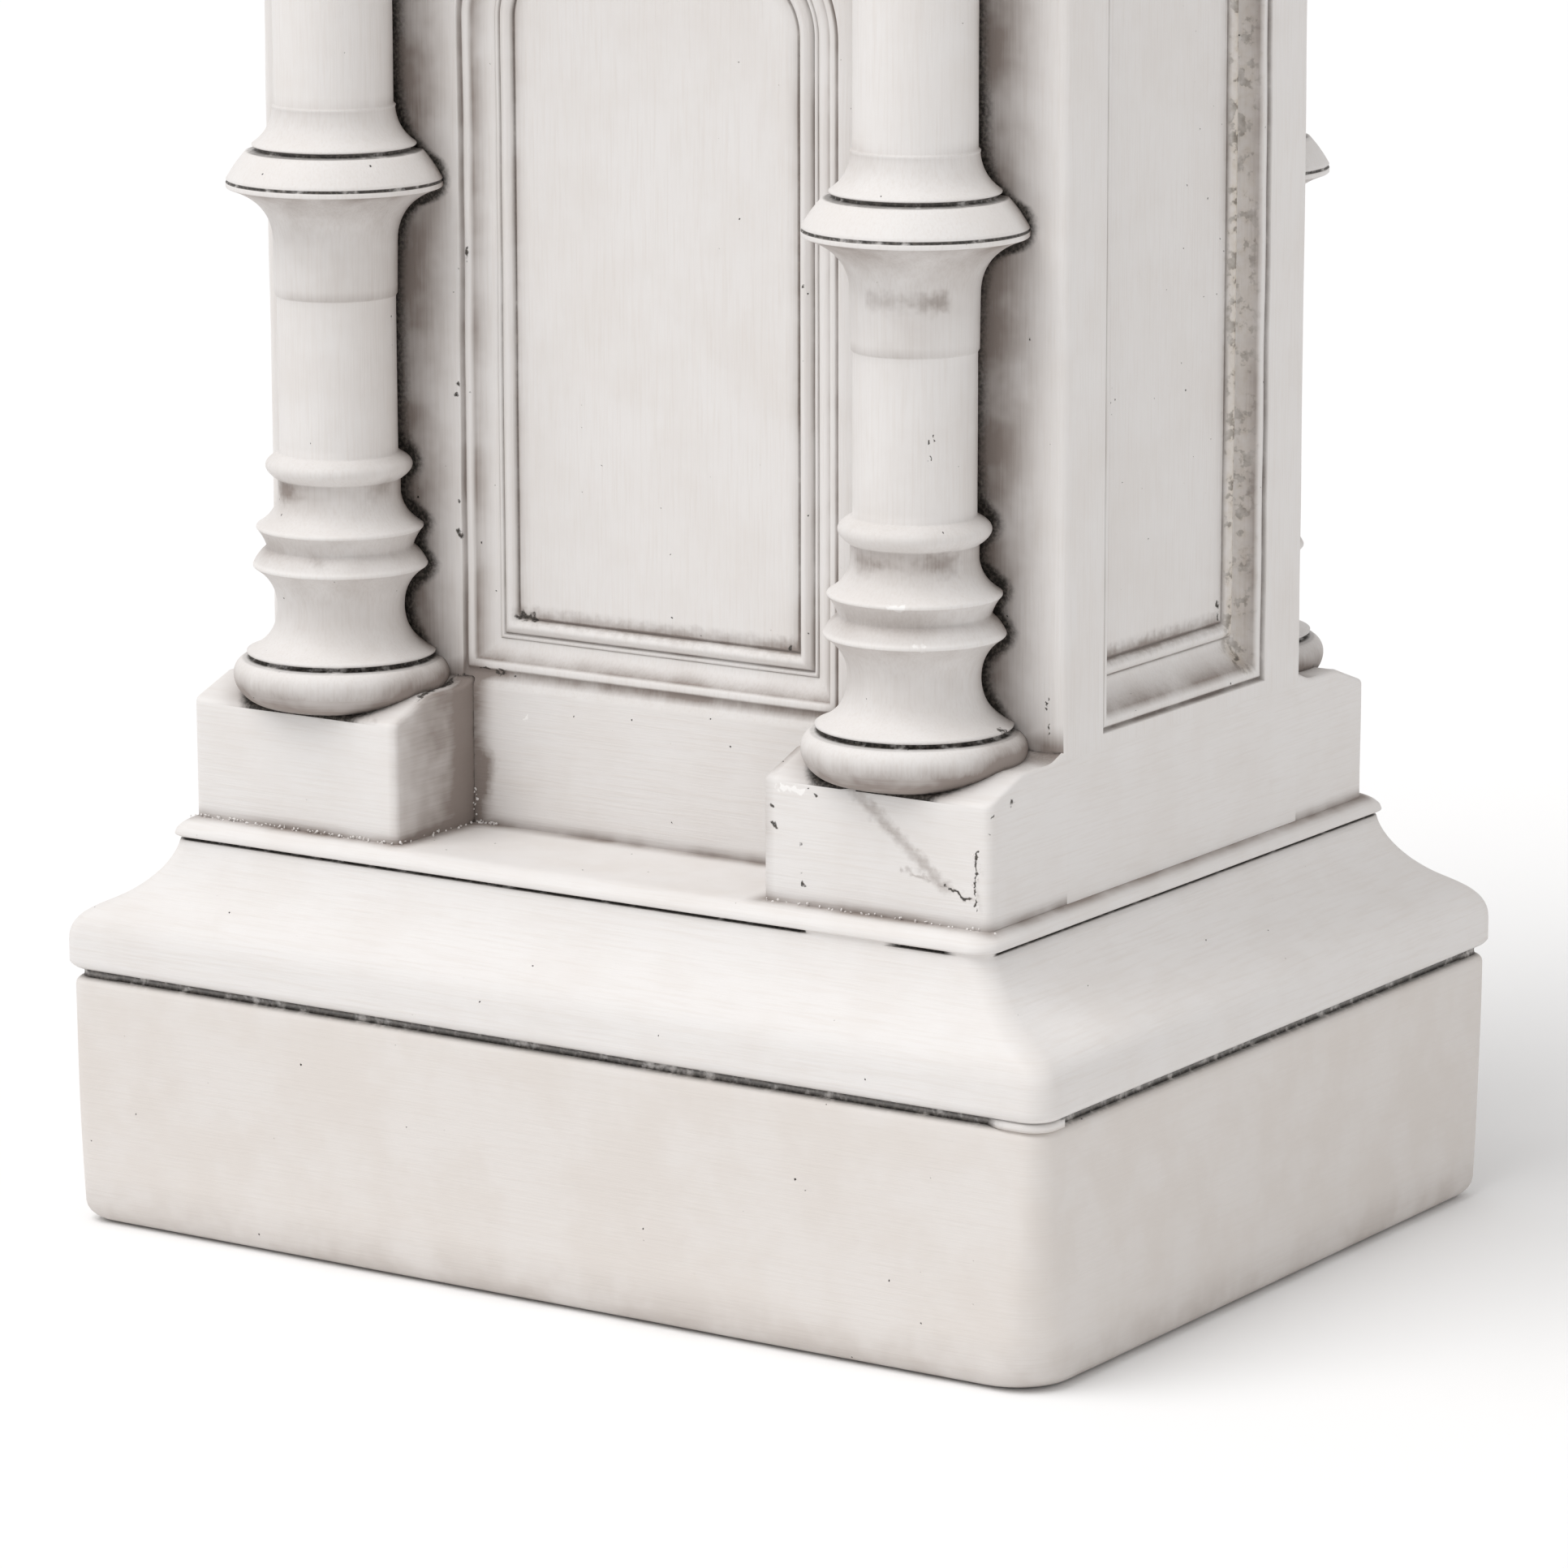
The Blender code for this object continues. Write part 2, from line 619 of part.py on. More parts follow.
def pedestal():
    """The whole casting: the body, sunk with its panels and joined with all that stands out from it."""
    base_profile, collar_top = colonnette_profile()
    capital, shaft_top = capital_profile(collar_top)
    profile = base_profile + capital
    top_block_top = shaft_top + TOP_BLOCK_HEIGHT
    cast_on = [foot(), cornice(top_block_top)]
    for sign_x, sign_y in ((-1, -1), (1, -1), (-1, 1), (1, 1)):
        place = Vector((sign_x * SHAFT_SPREAD / 2, sign_y * (BODY_DEPTH / 2 + SHAFT_STANDOFF), 0))
        side = f"{'left' if sign_x < 0 else 'right'}_{'front' if sign_y < 0 else 'back'}"
        cast_on.append(block(f"low_block_{side}", sign_x, sign_y, low_block_outline()))
        cast_on.append(block(f"top_block_{side}", sign_x, sign_y, top_block_outline(top_block_top)))
        cast_on.append(turned(f"colonnette_{side}", profile, place))
        cast_on.append(web(f"web_{side}", sign_x, sign_y, BLOCK_TOP - OVERLAP, shaft_top + OVERLAP))
    whole = body(top_block_top)
    whole.name = "gothic_pedestal"
    whole.hide_render = False
    whole.display_type = "TEXTURED"
    whole.data.materials.append(antiqued_paint())
    bpy.context.scene.collection.objects.link(whole)
    boolean(whole, "sunk_panels", "DIFFERENCE", gather("panel_cutters", panel_cutters()))
    boolean(whole, "cast_on", "UNION", gather("cast_on", cast_on))
    return whole


def main():
    for obj in list(bpy.data.objects):
        bpy.data.objects.remove(obj, do_unlink=True)
    whole = pedestal()
    whole.data.shade_smooth()
    whole.data.set_sharp_from_angle(angle=math.radians(30))


main()
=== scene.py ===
"""Looks of the column plant stand: a gothic pedestal, cast in one and painted an antiqued off-white.

Metres, +Z up. The front, with its wide arched panel, faces -Y. The casting is dressed as fine meshes,
one for each run of its form: foot, body, blocks, colonnettes and cornice.
"""

import logging
import math
from dataclasses import dataclass, field
from enum import Enum
from functools import reduce
from typing import NamedTuple

import bpy
import numpy as np
from mathutils import Matrix, Vector


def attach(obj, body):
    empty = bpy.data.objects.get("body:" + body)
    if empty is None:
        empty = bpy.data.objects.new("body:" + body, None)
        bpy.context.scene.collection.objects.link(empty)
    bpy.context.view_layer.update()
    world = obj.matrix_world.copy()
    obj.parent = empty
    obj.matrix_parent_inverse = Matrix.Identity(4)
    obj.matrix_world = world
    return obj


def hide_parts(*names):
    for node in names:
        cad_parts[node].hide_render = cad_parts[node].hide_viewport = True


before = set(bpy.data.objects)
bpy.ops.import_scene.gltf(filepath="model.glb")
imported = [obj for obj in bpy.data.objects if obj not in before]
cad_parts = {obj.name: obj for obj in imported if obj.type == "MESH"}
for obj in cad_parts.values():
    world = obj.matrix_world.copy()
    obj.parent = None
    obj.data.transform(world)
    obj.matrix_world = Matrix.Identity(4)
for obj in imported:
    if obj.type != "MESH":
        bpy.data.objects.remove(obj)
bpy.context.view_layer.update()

# Short names of types
Object = bpy.types.Object
Socket = bpy.types.NodeSocket
Sockets = bpy.types.bpy_prop_collection
Numbers = float | np.ndarray

NODE = "gothic_pedestal"
SLOT = "antiqued_paint"
MM = 0.001
QUARTERS = ((1, 1), (-1, 1), (-1, -1), (1, -1))
# Gap of the points that are far from any joint
FAR_OFF = 0.05


class Stuff(Enum):
    """What a mark on the paint is made of."""

    SOOT = "soot"
    STAIN = "stain"
    CHALK = "chalk"
    ROUGH = "rough"


class Mark(NamedTuple):
    """Mark on the paint along a straight line, with its ends and its half width in millimetres."""

    stuff: Stuff
    start: tuple
    end: tuple
    half_width: float


def spots(half_width: float, *places: tuple) -> tuple[Mark, ...]:
    """Round spots of soot, all with one radius."""
    return tuple(Mark(Stuff.SOOT, place, place, half_width) for place in places)


MARKS = {
    "body": (
        *spots(0.7, (49.5, -65.0, 291.0), (50.0, -65.0, 269.5), (-68.5, -68.0, 254.0)),
        *spots(0.7, (-69.0, -68.0, 250.5), (-63.5, -68.0, 251.5)),
        Mark(Stuff.SOOT, (-65.5, -68.0, 165.5), (-65.5, -68.0, 146.0), 0.45),
        Mark(Stuff.STAIN, (-59.0, -68.0, 143.0), (-61.0, -68.0, 134.0), 2.2),
        Mark(Stuff.STAIN, (-64.5, -68.0, 130.5), (-64.0, -68.0, 123.0), 2.2),
        Mark(Stuff.CHALK, (-47.5, -68.0, 156.5), (-44.5, -68.0, 157.0), 0.3),
        Mark(Stuff.SOOT, (-67.0, -68.0, 166.5), (-66.5, -68.0, 164.5), 1.3),
        Mark(Stuff.SOOT, (-65.5, -68.0, 294.0), (-66.5, -68.0, 288.0), 0.8),
        *spots(0.6, (-68.5, -68.0, 219.0)),
        *spots(1.0, (-68.5, -68.0, 209.5)),
        Mark(Stuff.SOOT, (133.5, -68.0, 182.5), (134.0, -68.0, 172.5), 0.25),
        Mark(Stuff.SOOT, (-62.0, -67.0, 169.5), (-48.5, -67.0, 169.5), 0.6),
        Mark(Stuff.STAIN, (-51.0, -62.5, 186.5), (-5.0, -62.5, 186.0), 1.7),
        Mark(Stuff.SOOT, (-51.0, -62.5, 186.0), (-45.0, -62.5, 186.0), 1.1),
        Mark(Stuff.STAIN, (-5.0, -62.5, 186.0), (46.5, -62.5, 186.5), 1.9),
        *spots(0.9, (44.5, -62.5, 186.5)),
        Mark(Stuff.STAIN, (130.5, -30.0, 188.0), (130.5, 31.5, 188.0), 1.8),
        Mark(Stuff.SOOT, (130.5, 32.0, 189.0), (130.5, 32.0, 193.5), 0.7),
        Mark(Stuff.ROUGH, (134.0, 37.5, 375.0), (134.0, 37.5, 176.0), 3.2),
        Mark(Stuff.SOOT, (135.0, 36.5, 323.0), (135.0, 36.5, 284.5), 0.3),
        Mark(Stuff.STAIN, (138.5, 67.0, 164.0), (138.5, 67.0, 160.5), 1.2),
    ),
    "low_block_left_front": (
        Mark(Stuff.STAIN, (-90.5, -106.0, 160.5), (-73.5, -106.0, 161.0), 1.7),
        Mark(Stuff.SOOT, (-64.0, -103.5, 165.0), (-69.0, -79.0, 165.0), 0.9),
        Mark(Stuff.SOOT, (-69.0, -79.0, 165.0), (-69.0, -64.5, 165.0), 1.0),
        Mark(Stuff.SOOT, (-69.0, -86.5, 164.0), (-70.5, -64.0, 166.0), 1.2),
    ),
    "low_block_right_front": (
        *spots(0.7, (67.0, -106.0, 145.5), (76.0, -106.0, 141.0), (76.0, -106.0, 133.0)),
        *spots(0.7, (77.0, -106.0, 129.5), (66.5, -106.0, 151.0), (81.5, -106.0, 155.5)),
        Mark(Stuff.STAIN, (93.5, -106.0, 159.0), (124.0, -106.0, 134.5), 1.5),
        Mark(Stuff.SOOT, (124.0, -106.0, 134.5), (133.5, -106.0, 132.0), 0.5),
        Mark(Stuff.STAIN, (109.5, -106.0, 138.5), (133.5, -106.0, 132.0), 0.6),
        Mark(Stuff.SOOT, (134.5, -106.0, 146.0), (134.0, -106.0, 130.0), 0.45),
        Mark(Stuff.CHALK, (68.0, -106.0, 156.5), (77.5, -106.0, 156.5), 0.8),
        *spots(0.6, (138.0, -105.0, 156.0)),
        *spots(0.5, (138.0, -105.0, 151.0)),
        *spots(0.8, (138.5, -94.5, 158.5)),
    ),
    "colonnettes": (
        Mark(Stuff.STAIN, (-107.5, -100.5, 223.5), (-82.0, -87.5, 224.5), 3.0),
        Mark(Stuff.STAIN, (-112.0, -97.0, 206.0), (-92.0, -104.0, 203.0), 2.0),
        Mark(Stuff.SOOT, (127.0, -82.0, 174.5), (127.0, -80.0, 174.0), 1.1),
        Mark(Stuff.CHALK, (107.0, -107.5, 212.0), (109.5, -107.0, 212.0), 1.1),
        Mark(Stuff.CHALK, (113.0, -104.5, 201.0), (115.5, -103.0, 200.5), 0.8),
        Mark(Stuff.SOOT, (113.0, -95.5, 260.0), (112.5, -96.5, 251.0), 0.25),
        Mark(Stuff.STAIN, (126.5, -99.5, 164.0), (128.5, -73.5, 166.0), 2.0),
        Mark(Stuff.STAIN, (97.5, -102.5, 295.5), (115.0, -94.5, 295.5), 2.2),
        Mark(Stuff.STAIN, (90.0, -102.0, 222.0), (118.0, -92.0, 222.5), 2.6),
    ),
    "foot": (
        Mark(Stuff.SOOT, (169.5, -125.5, 9.5), (170.0, -122.0, 8.0), 1.3),
    ),
}


@dataclass(frozen=True)
class Stand:
    """Sizes that several sub-assemblies share, as the solids have them."""

    body_half_x: float = 0.1386
    body_half_y: float = 0.0680
    ledge: float = 0.1237
    block_width: float = 0.0747
    block_reach: float = 0.0381
    block_front_top: float = 0.1592
    block_rise: float = 0.0060
    block_run: float = 0.0170
    hollow_run: float = 0.0070
    hollow_rise: float = 0.0022
    shaft_half_spread: float = 0.0999
    shaft_standoff: float = 0.0161
    top_block_foot: float = 0.4693
    top_block_top: float = 0.5113
    overlap: float = 0.003
    plinth_half_x: float = 0.170
    plinth_half_y: float = 0.129

    @property
    def block_front(self) -> float:
        """Distance of a block's front face from the middle plane."""
        return self.body_half_y + self.block_reach

    @property
    def shaft_y(self) -> float:
        """Distance of a colonnette's axis from the middle plane."""
        return self.body_half_y + self.shaft_standoff

    def block_top(self, y: np.ndarray) -> np.ndarray:
        """Height of a low block's top at a distance y from the middle plane.

        Args:
            y: Distances from the middle plane.

        Returns:
            Heights, which climb from the front edge and then run level to the wall.
        """
        climb = np.clip((self.block_front - np.abs(y)) / self.block_run, 0, 1)
        hollow = np.clip(1 - (np.abs(y) - self.body_half_y) / self.hollow_run, 0, 1)
        return self.block_front_top + self.block_rise * climb + self.hollow_rise * hollow**2


STAND = Stand()


def cubic(start: tuple, first: tuple, second: tuple, end: tuple, steps: int) -> list[tuple]:
    """Points of a cubic curve after its start.

    Args:
        start: First point.
        first: Handle of the start.
        second: Handle of the end.
        end: Last point.
        steps: Number of points to return.

    Returns:
        The points, the last of them the end.
    """
    t = np.linspace(0, 1, steps + 1)[1:, None]
    corners = [np.array(point, float) for point in (start, first, second, end)]
    weights = ((1 - t) ** 3, 3 * t * (1 - t) ** 2, 3 * t * t * (1 - t), t**3)
    return [tuple(point) for point in sum(w * c for w, c in zip(weights, corners))]


def bow(start: tuple, end: tuple, bulge: float, steps: int) -> list[tuple]:
    """Points after start on an arc that stands out from its chord by bulge chord lengths.

    Args:
        start: First point, as (out, height).
        end: Last point.
        bulge: Rise of the arc in chord lengths, convex where it is positive and the arc climbs.
        steps: Number of points to return.

    Returns:
        The points, the last of them the end.
    """
    (r0, z0), (r1, z1) = start, end
    t = np.linspace(0, 1, steps + 1)[1:]
    rise = 4 * bulge * t * (1 - t)
    out = r0 + (r1 - r0) * t + rise * (z1 - z0)
    height = z0 + (z1 - z0) * t + rise * (r0 - r1)
    return list(zip(out, height))


def link(name: str, data: bpy.types.ID) -> Object:
    """Makes an object at the origin and links it to the scene."""
    obj = bpy.data.objects.new(name, data)
    bpy.context.scene.collection.objects.link(obj)
    return obj


def store(mesh: bpy.types.Mesh, **columns: np.ndarray) -> None:
    """Stores columns of numbers on a mesh's points, under their names."""
    for name, column in columns.items():
        mesh.attributes.new(name, "FLOAT", "POINT").data.foreach_set("value", column.astype(np.float32))


def over_ledge(heights: np.ndarray) -> np.ndarray:
    """Gap over the ledge, which grows four times as fast as the height, so that dirt and painted shade stay
    low.
    """
    return (heights - STAND.ledge) * 4 + 0.0035


def grow(name: str, places: bpy.types.Mesh, tree: bpy.types.NodeTree, settings: dict) -> Object:
    """Runs a Geometry Nodes tree on a mesh, and keeps what it makes as a plain mesh.

    Args:
        name: Name of the piece.
        places: Mesh that the tree starts from.
        tree: The tree.
        settings: Values of the tree's inputs, by name, with the material as "Finish".

    Returns:
        The piece, smooth shaded, at the origin.
    """
    holder = link(places.name, places)
    modifier = holder.modifiers.new(tree.name, "NODES")
    modifier.node_group = tree
    for socket in tree.interface.items_tree:
        if socket.in_out == "INPUT" and socket.name in settings:
            modifier[socket.identifier] = settings[socket.name]
    graph = bpy.context.evaluated_depsgraph_get()
    result = holder.evaluated_get(graph)
    mesh = bpy.data.meshes.new_from_object(result, preserve_all_data_layers=True, depsgraph=graph)
    bpy.data.objects.remove(holder)
    mesh.name = name
    mesh.materials.clear()
    mesh.materials.append(settings["Finish"])
    mesh.shade_smooth()
    return link(name, mesh)


class HandCast:
    """Slow unevenness of a casting finished by hand: a sum of sine waves, the same each run."""

    def __init__(self, seed: int, shortest: float, longest: float, waves: int = 14) -> None:
        """Chooses the waves.

        Args:
            seed: Seed of the wave directions and phases.
            shortest: Shortest wave length.
            longest: Longest wave length.
            waves: Number of waves.
        """
        choice = np.random.default_rng(seed)
        heading = choice.normal(size=(waves, 3))
        heading /= np.linalg.norm(heading, axis=1, keepdims=True)
        lengths = choice.uniform(shortest, longest, (waves, 1))
        self.waves = heading * math.tau / lengths
        self.phases = choice.uniform(0, math.tau, waves)

    def at(self, points: np.ndarray) -> np.ndarray:
        """Unevenness from 0 to 1 at points, mostly near a half."""
        total = np.sin(points @ self.waves.T + self.phases).sum(axis=1)
        return np.clip(0.5 + total / (1.6 * math.sqrt(2 * len(self.phases))), 0, 1)

    def pull(self, points: np.ndarray, amount: float) -> np.ndarray:
        """Points of body or blocks drawn in by up to about amount, the same for both where they are flush."""
        share = amount * self.at(points)[:, None] / np.array([STAND.body_half_x, STAND.body_half_y])
        return np.column_stack([points[:, :2] * (1 - share), points[:, 2]])


class Shell:
    """Points, faces and paint values of a piece while it is made."""

    def __init__(self) -> None:
        """Starts with nothing."""
        self.points: list[np.ndarray] = []
        self.grime: list[np.ndarray] = []
        self.wash: list[np.ndarray] = []
        self.faces: list[list[int]] = []
        self.count = 0

    def add(self, points: np.ndarray, grime: Numbers = 0.0, wash: Numbers = 0.0) -> np.ndarray:
        """Adds points.

        Args:
            points: Rows of x, y, z.
            grime: Black dirt and painted shade at the points, from 0 to 1.
            wash: Grey-brown wash and painted shade at the points, from 0 to 1.

        Returns:
            The new points' indices.
        """
        points = np.atleast_2d(points)
        self.points.append(points)
        self.grime.append(np.broadcast_to(grime, len(points)))
        self.wash.append(np.broadcast_to(wash, len(points)))
        rows = np.arange(self.count, self.count + len(points))
        self.count += len(points)
        return rows

    def strip(self, near: np.ndarray, far: np.ndarray, closed: bool = True) -> None:
        """Joins two rows of points with four-sided faces.

        Args:
            near: Indices of the first row, anticlockwise as seen from outside below the second.
            far: Indices of the second row.
            closed: Whether the rows run round to their start.
        """
        quads = np.stack([near, np.roll(near, -1), np.roll(far, -1), far], axis=1)
        self.faces += (quads if closed else quads[:-1]).tolist()

    def join(self, rows: list[np.ndarray]) -> None:
        """Joins rows of points, each to the next."""
        for near, far in zip(rows, rows[1:]):
            self.strip(near, far)

    def cap(self, ring: np.ndarray, centre: np.ndarray) -> None:
        """Closes a ring with triangles to a point.

        Args:
            ring: Indices, anticlockwise as seen from outside.
            centre: Index of the point, as an array of one.
        """
        triangles = np.stack([ring, np.roll(ring, -1), np.full(len(ring), centre[0])], axis=1)
        self.faces += triangles.tolist()

    def finish(self, name: str, gap: np.ndarray | None = None, behind: Numbers = 0.0) -> Object:
        """Makes the object.

        Args:
            name: Name of the piece.
            gap: Distance of each point from the form that it runs into.
            behind: One at the points that the colonnettes stand before or on, otherwise zero.

        Returns:
            The object, smooth shaded, at the origin.
        """
        mesh = bpy.data.meshes.new(name)
        mesh.from_pydata(np.concatenate(self.points).tolist(), [], self.faces)
        far = np.full(self.count, FAR_OFF) if gap is None else gap
        beside = np.broadcast_to(behind, self.count)
        store(mesh, grime=np.concatenate(self.grime), wash=np.concatenate(self.wash), gap=far, behind=beside)
        mesh.shade_smooth()
        return link(name, mesh)

    def all_points(self) -> np.ndarray:
        """All points so far, as rows of x, y, z."""
        return np.concatenate(self.points)


WALL_CAST = HandCast(5, 0.03, 0.12)


def settle(obj: Object) -> None:
    """Declares a finished piece to the frame."""
    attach(obj, "root")
    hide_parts(NODE)
    logging.info("%s: %d triangles", obj.name, sum(len(face.vertices) - 2 for face in obj.data.polygons))


def rounded_ring(half_x: float, half_y: float, radii: tuple, height: float, counts: tuple) -> np.ndarray:
    """Ring of points round a rectangle with round corners, anticlockwise from above.

    Args:
        half_x: Half of the width.
        half_y: Half of the depth.
        radii: Corner radii: back right, back left, front left, front right.
        height: Height of the ring.
        counts: Steps along X, along Y and round a corner.

    Returns:
        Rows of x, y, z.
    """
    along_x, along_y, round_corner = counts
    runs = []
    for corner, (sign_x, sign_y) in enumerate(QUARTERS):
        radius = radii[corner]
        angle = math.pi / 2 * (corner + np.linspace(0, 1, round_corner + 1))
        centre = np.array([sign_x * (half_x - radius), sign_y * (half_y - radius)])
        runs.append(centre + radius * np.column_stack([np.cos(angle), np.sin(angle)]))
    ring = []
    for corner, arc in enumerate(runs):
        ring.append(arc)
        steps = along_x if corner in (0, 2) else along_y
        share = np.linspace(0, 1, steps + 1)[1:-1, None]
        ring.append(arc[-1] * (1 - share) + runs[(corner + 1) % 4][0] * share)
    flat = np.concatenate(ring)
    return np.column_stack([flat, np.full(len(flat), height)])


class Level(NamedTuple):
    """One level of a moulding: how far out and how high it is, and the dirt, wash and painted shade on it."""

    half_x: float
    half_y: float
    height: float
    cut: float = 0.0
    grime: float = 0.0
    wash: float = 0.0

    def further(self, reach: float, height: float, *in_hollows: float) -> "Level":
        """Level further out by reach, at a height, with its own cut, grime and wash."""
        return Level(self.half_x + reach, self.half_y + reach, height, *in_hollows)


PLINTH = Level(STAND.plinth_half_x, STAND.plinth_half_y, 0.0)


@dataclass
class Moulding:
    """Groove, lip, ogee, narrow groove and fillet, which foot and cornice share."""

    groove_height: float = 0.0022
    groove_cut: float = 0.0021
    lip_overhang: float = 0.0012
    lip_height: float = 0.0088
    lip_undercut: float = 0.0022
    ogee_height: float = 0.0311
    top_half_x: float = 0.1417
    top_half_y: float = 0.1133
    narrow_groove: float = 0.0011
    fillet_overhang: float = 0.0012
    fillet_foot_round: float = 0.0007
    fillet_edge: float = 0.0014
    slope_height: float = 0.0036
    slope_run: float = 0.0042

    def levels(self) -> list[Level]:
        """Levels from the top of the wide groove, at height 0, to the fillet's top."""
        cut = self.groove_cut
        # Wide groove, black with dirt and painted shade
        found = [
            PLINTH.further(0, -self.groove_height, cut + 0.0004, 1.0),
            PLINTH.further(0, -self.groove_height / 2, cut + 0.0006, 0.75),
            PLINTH.further(0, -0.0001, cut + 0.0004, 1.0),
        ]
        # Underside of the lip, darker next to the groove: dirt and painted shade
        for out, height in bow((-cut, 0), (self.lip_overhang, self.lip_undercut), 0.15, 6):
            found.append(PLINTH.further(out, height, 0, max(0.0, 0.6 - 0.5 * height / MM)))
        lip = PLINTH.further(self.lip_overhang, 0)
        for height in np.linspace(self.lip_undercut, self.lip_height, 6)[1:]:
            found.append(lip.further(0, height))
        convex = cubic((0, 0), (0, 0.24), (0.22, 0.313), (0.42, 0.405), 13)
        concave = cubic((0.42, 0.405), (0.68, 0.525), (0.94, 0.75), (1, 1), 13)
        run_x, run_y = self.top_half_x - lip.half_x, self.top_half_y - lip.half_y
        for inset, rise in convex + concave:
            height = self.lip_height + self.ogee_height * rise
            found.append(Level(lip.half_x + run_x * inset, lip.half_y + run_y * inset, height))
        return found + self.fillet_levels(self.lip_height + self.ogee_height)

    def fillet_levels(self, height: float) -> list[Level]:
        """Levels of the narrow groove and the fillet above it.

        Args:
            height: Top of the ogee.

        Returns:
            Levels up to the ledge.
        """
        top = Level(self.top_half_x, self.top_half_y, height)
        cut = self.groove_cut
        groove_top = height + self.narrow_groove
        # Narrow groove, black with dirt and painted shade
        found = [
            top.further(0, height + 0.0001, cut * 0.5, 0.9),
            top.further(0, height + 0.0002, cut, 1.0),
            top.further(0, groove_top - 0.0002, cut, 1.0),
            top.further(0, groove_top - 0.0001, cut * 0.4, 0.9),
        ]
        for turn in np.linspace(0, math.pi / 2, 4):
            reach = self.fillet_overhang * math.sin(turn)
            level = groove_top + self.fillet_foot_round * (1 - math.cos(turn))
            found.append(top.further(reach, level, 0, 0.25 * math.cos(turn)))
        edge_height = groove_top + self.fillet_edge
        edge = top.further(self.fillet_overhang, 0)
        slope = bow((0, edge_height), (-self.slope_run, edge_height + self.slope_height), 0.10, 8)
        return found + [edge.further(inset, level) for inset, level in slope]


class Stretch(NamedTuple):
    """Stretch of a groove that is filled with paint, as a box of x, y and height."""

    low: tuple
    high: tuple


def openness(points: np.ndarray, filled: tuple[Stretch, ...], soft: float = 0.0012) -> np.ndarray:
    """How open a groove is at points: 0 where it is filled, 1 elsewhere.

    Args:
        points: Rows of x, y, z.
        filled: Filled stretches.
        soft: Length over which a stretch fades out.

    Returns:
        Values from 0 to 1.
    """
    value = np.ones(len(points))
    for stretch in filled:
        beyond = np.maximum(np.array(stretch.low) - points, points - np.array(stretch.high)).max(axis=1)
        value = np.minimum(value, np.clip(beyond / soft, 0, 1))
    return value


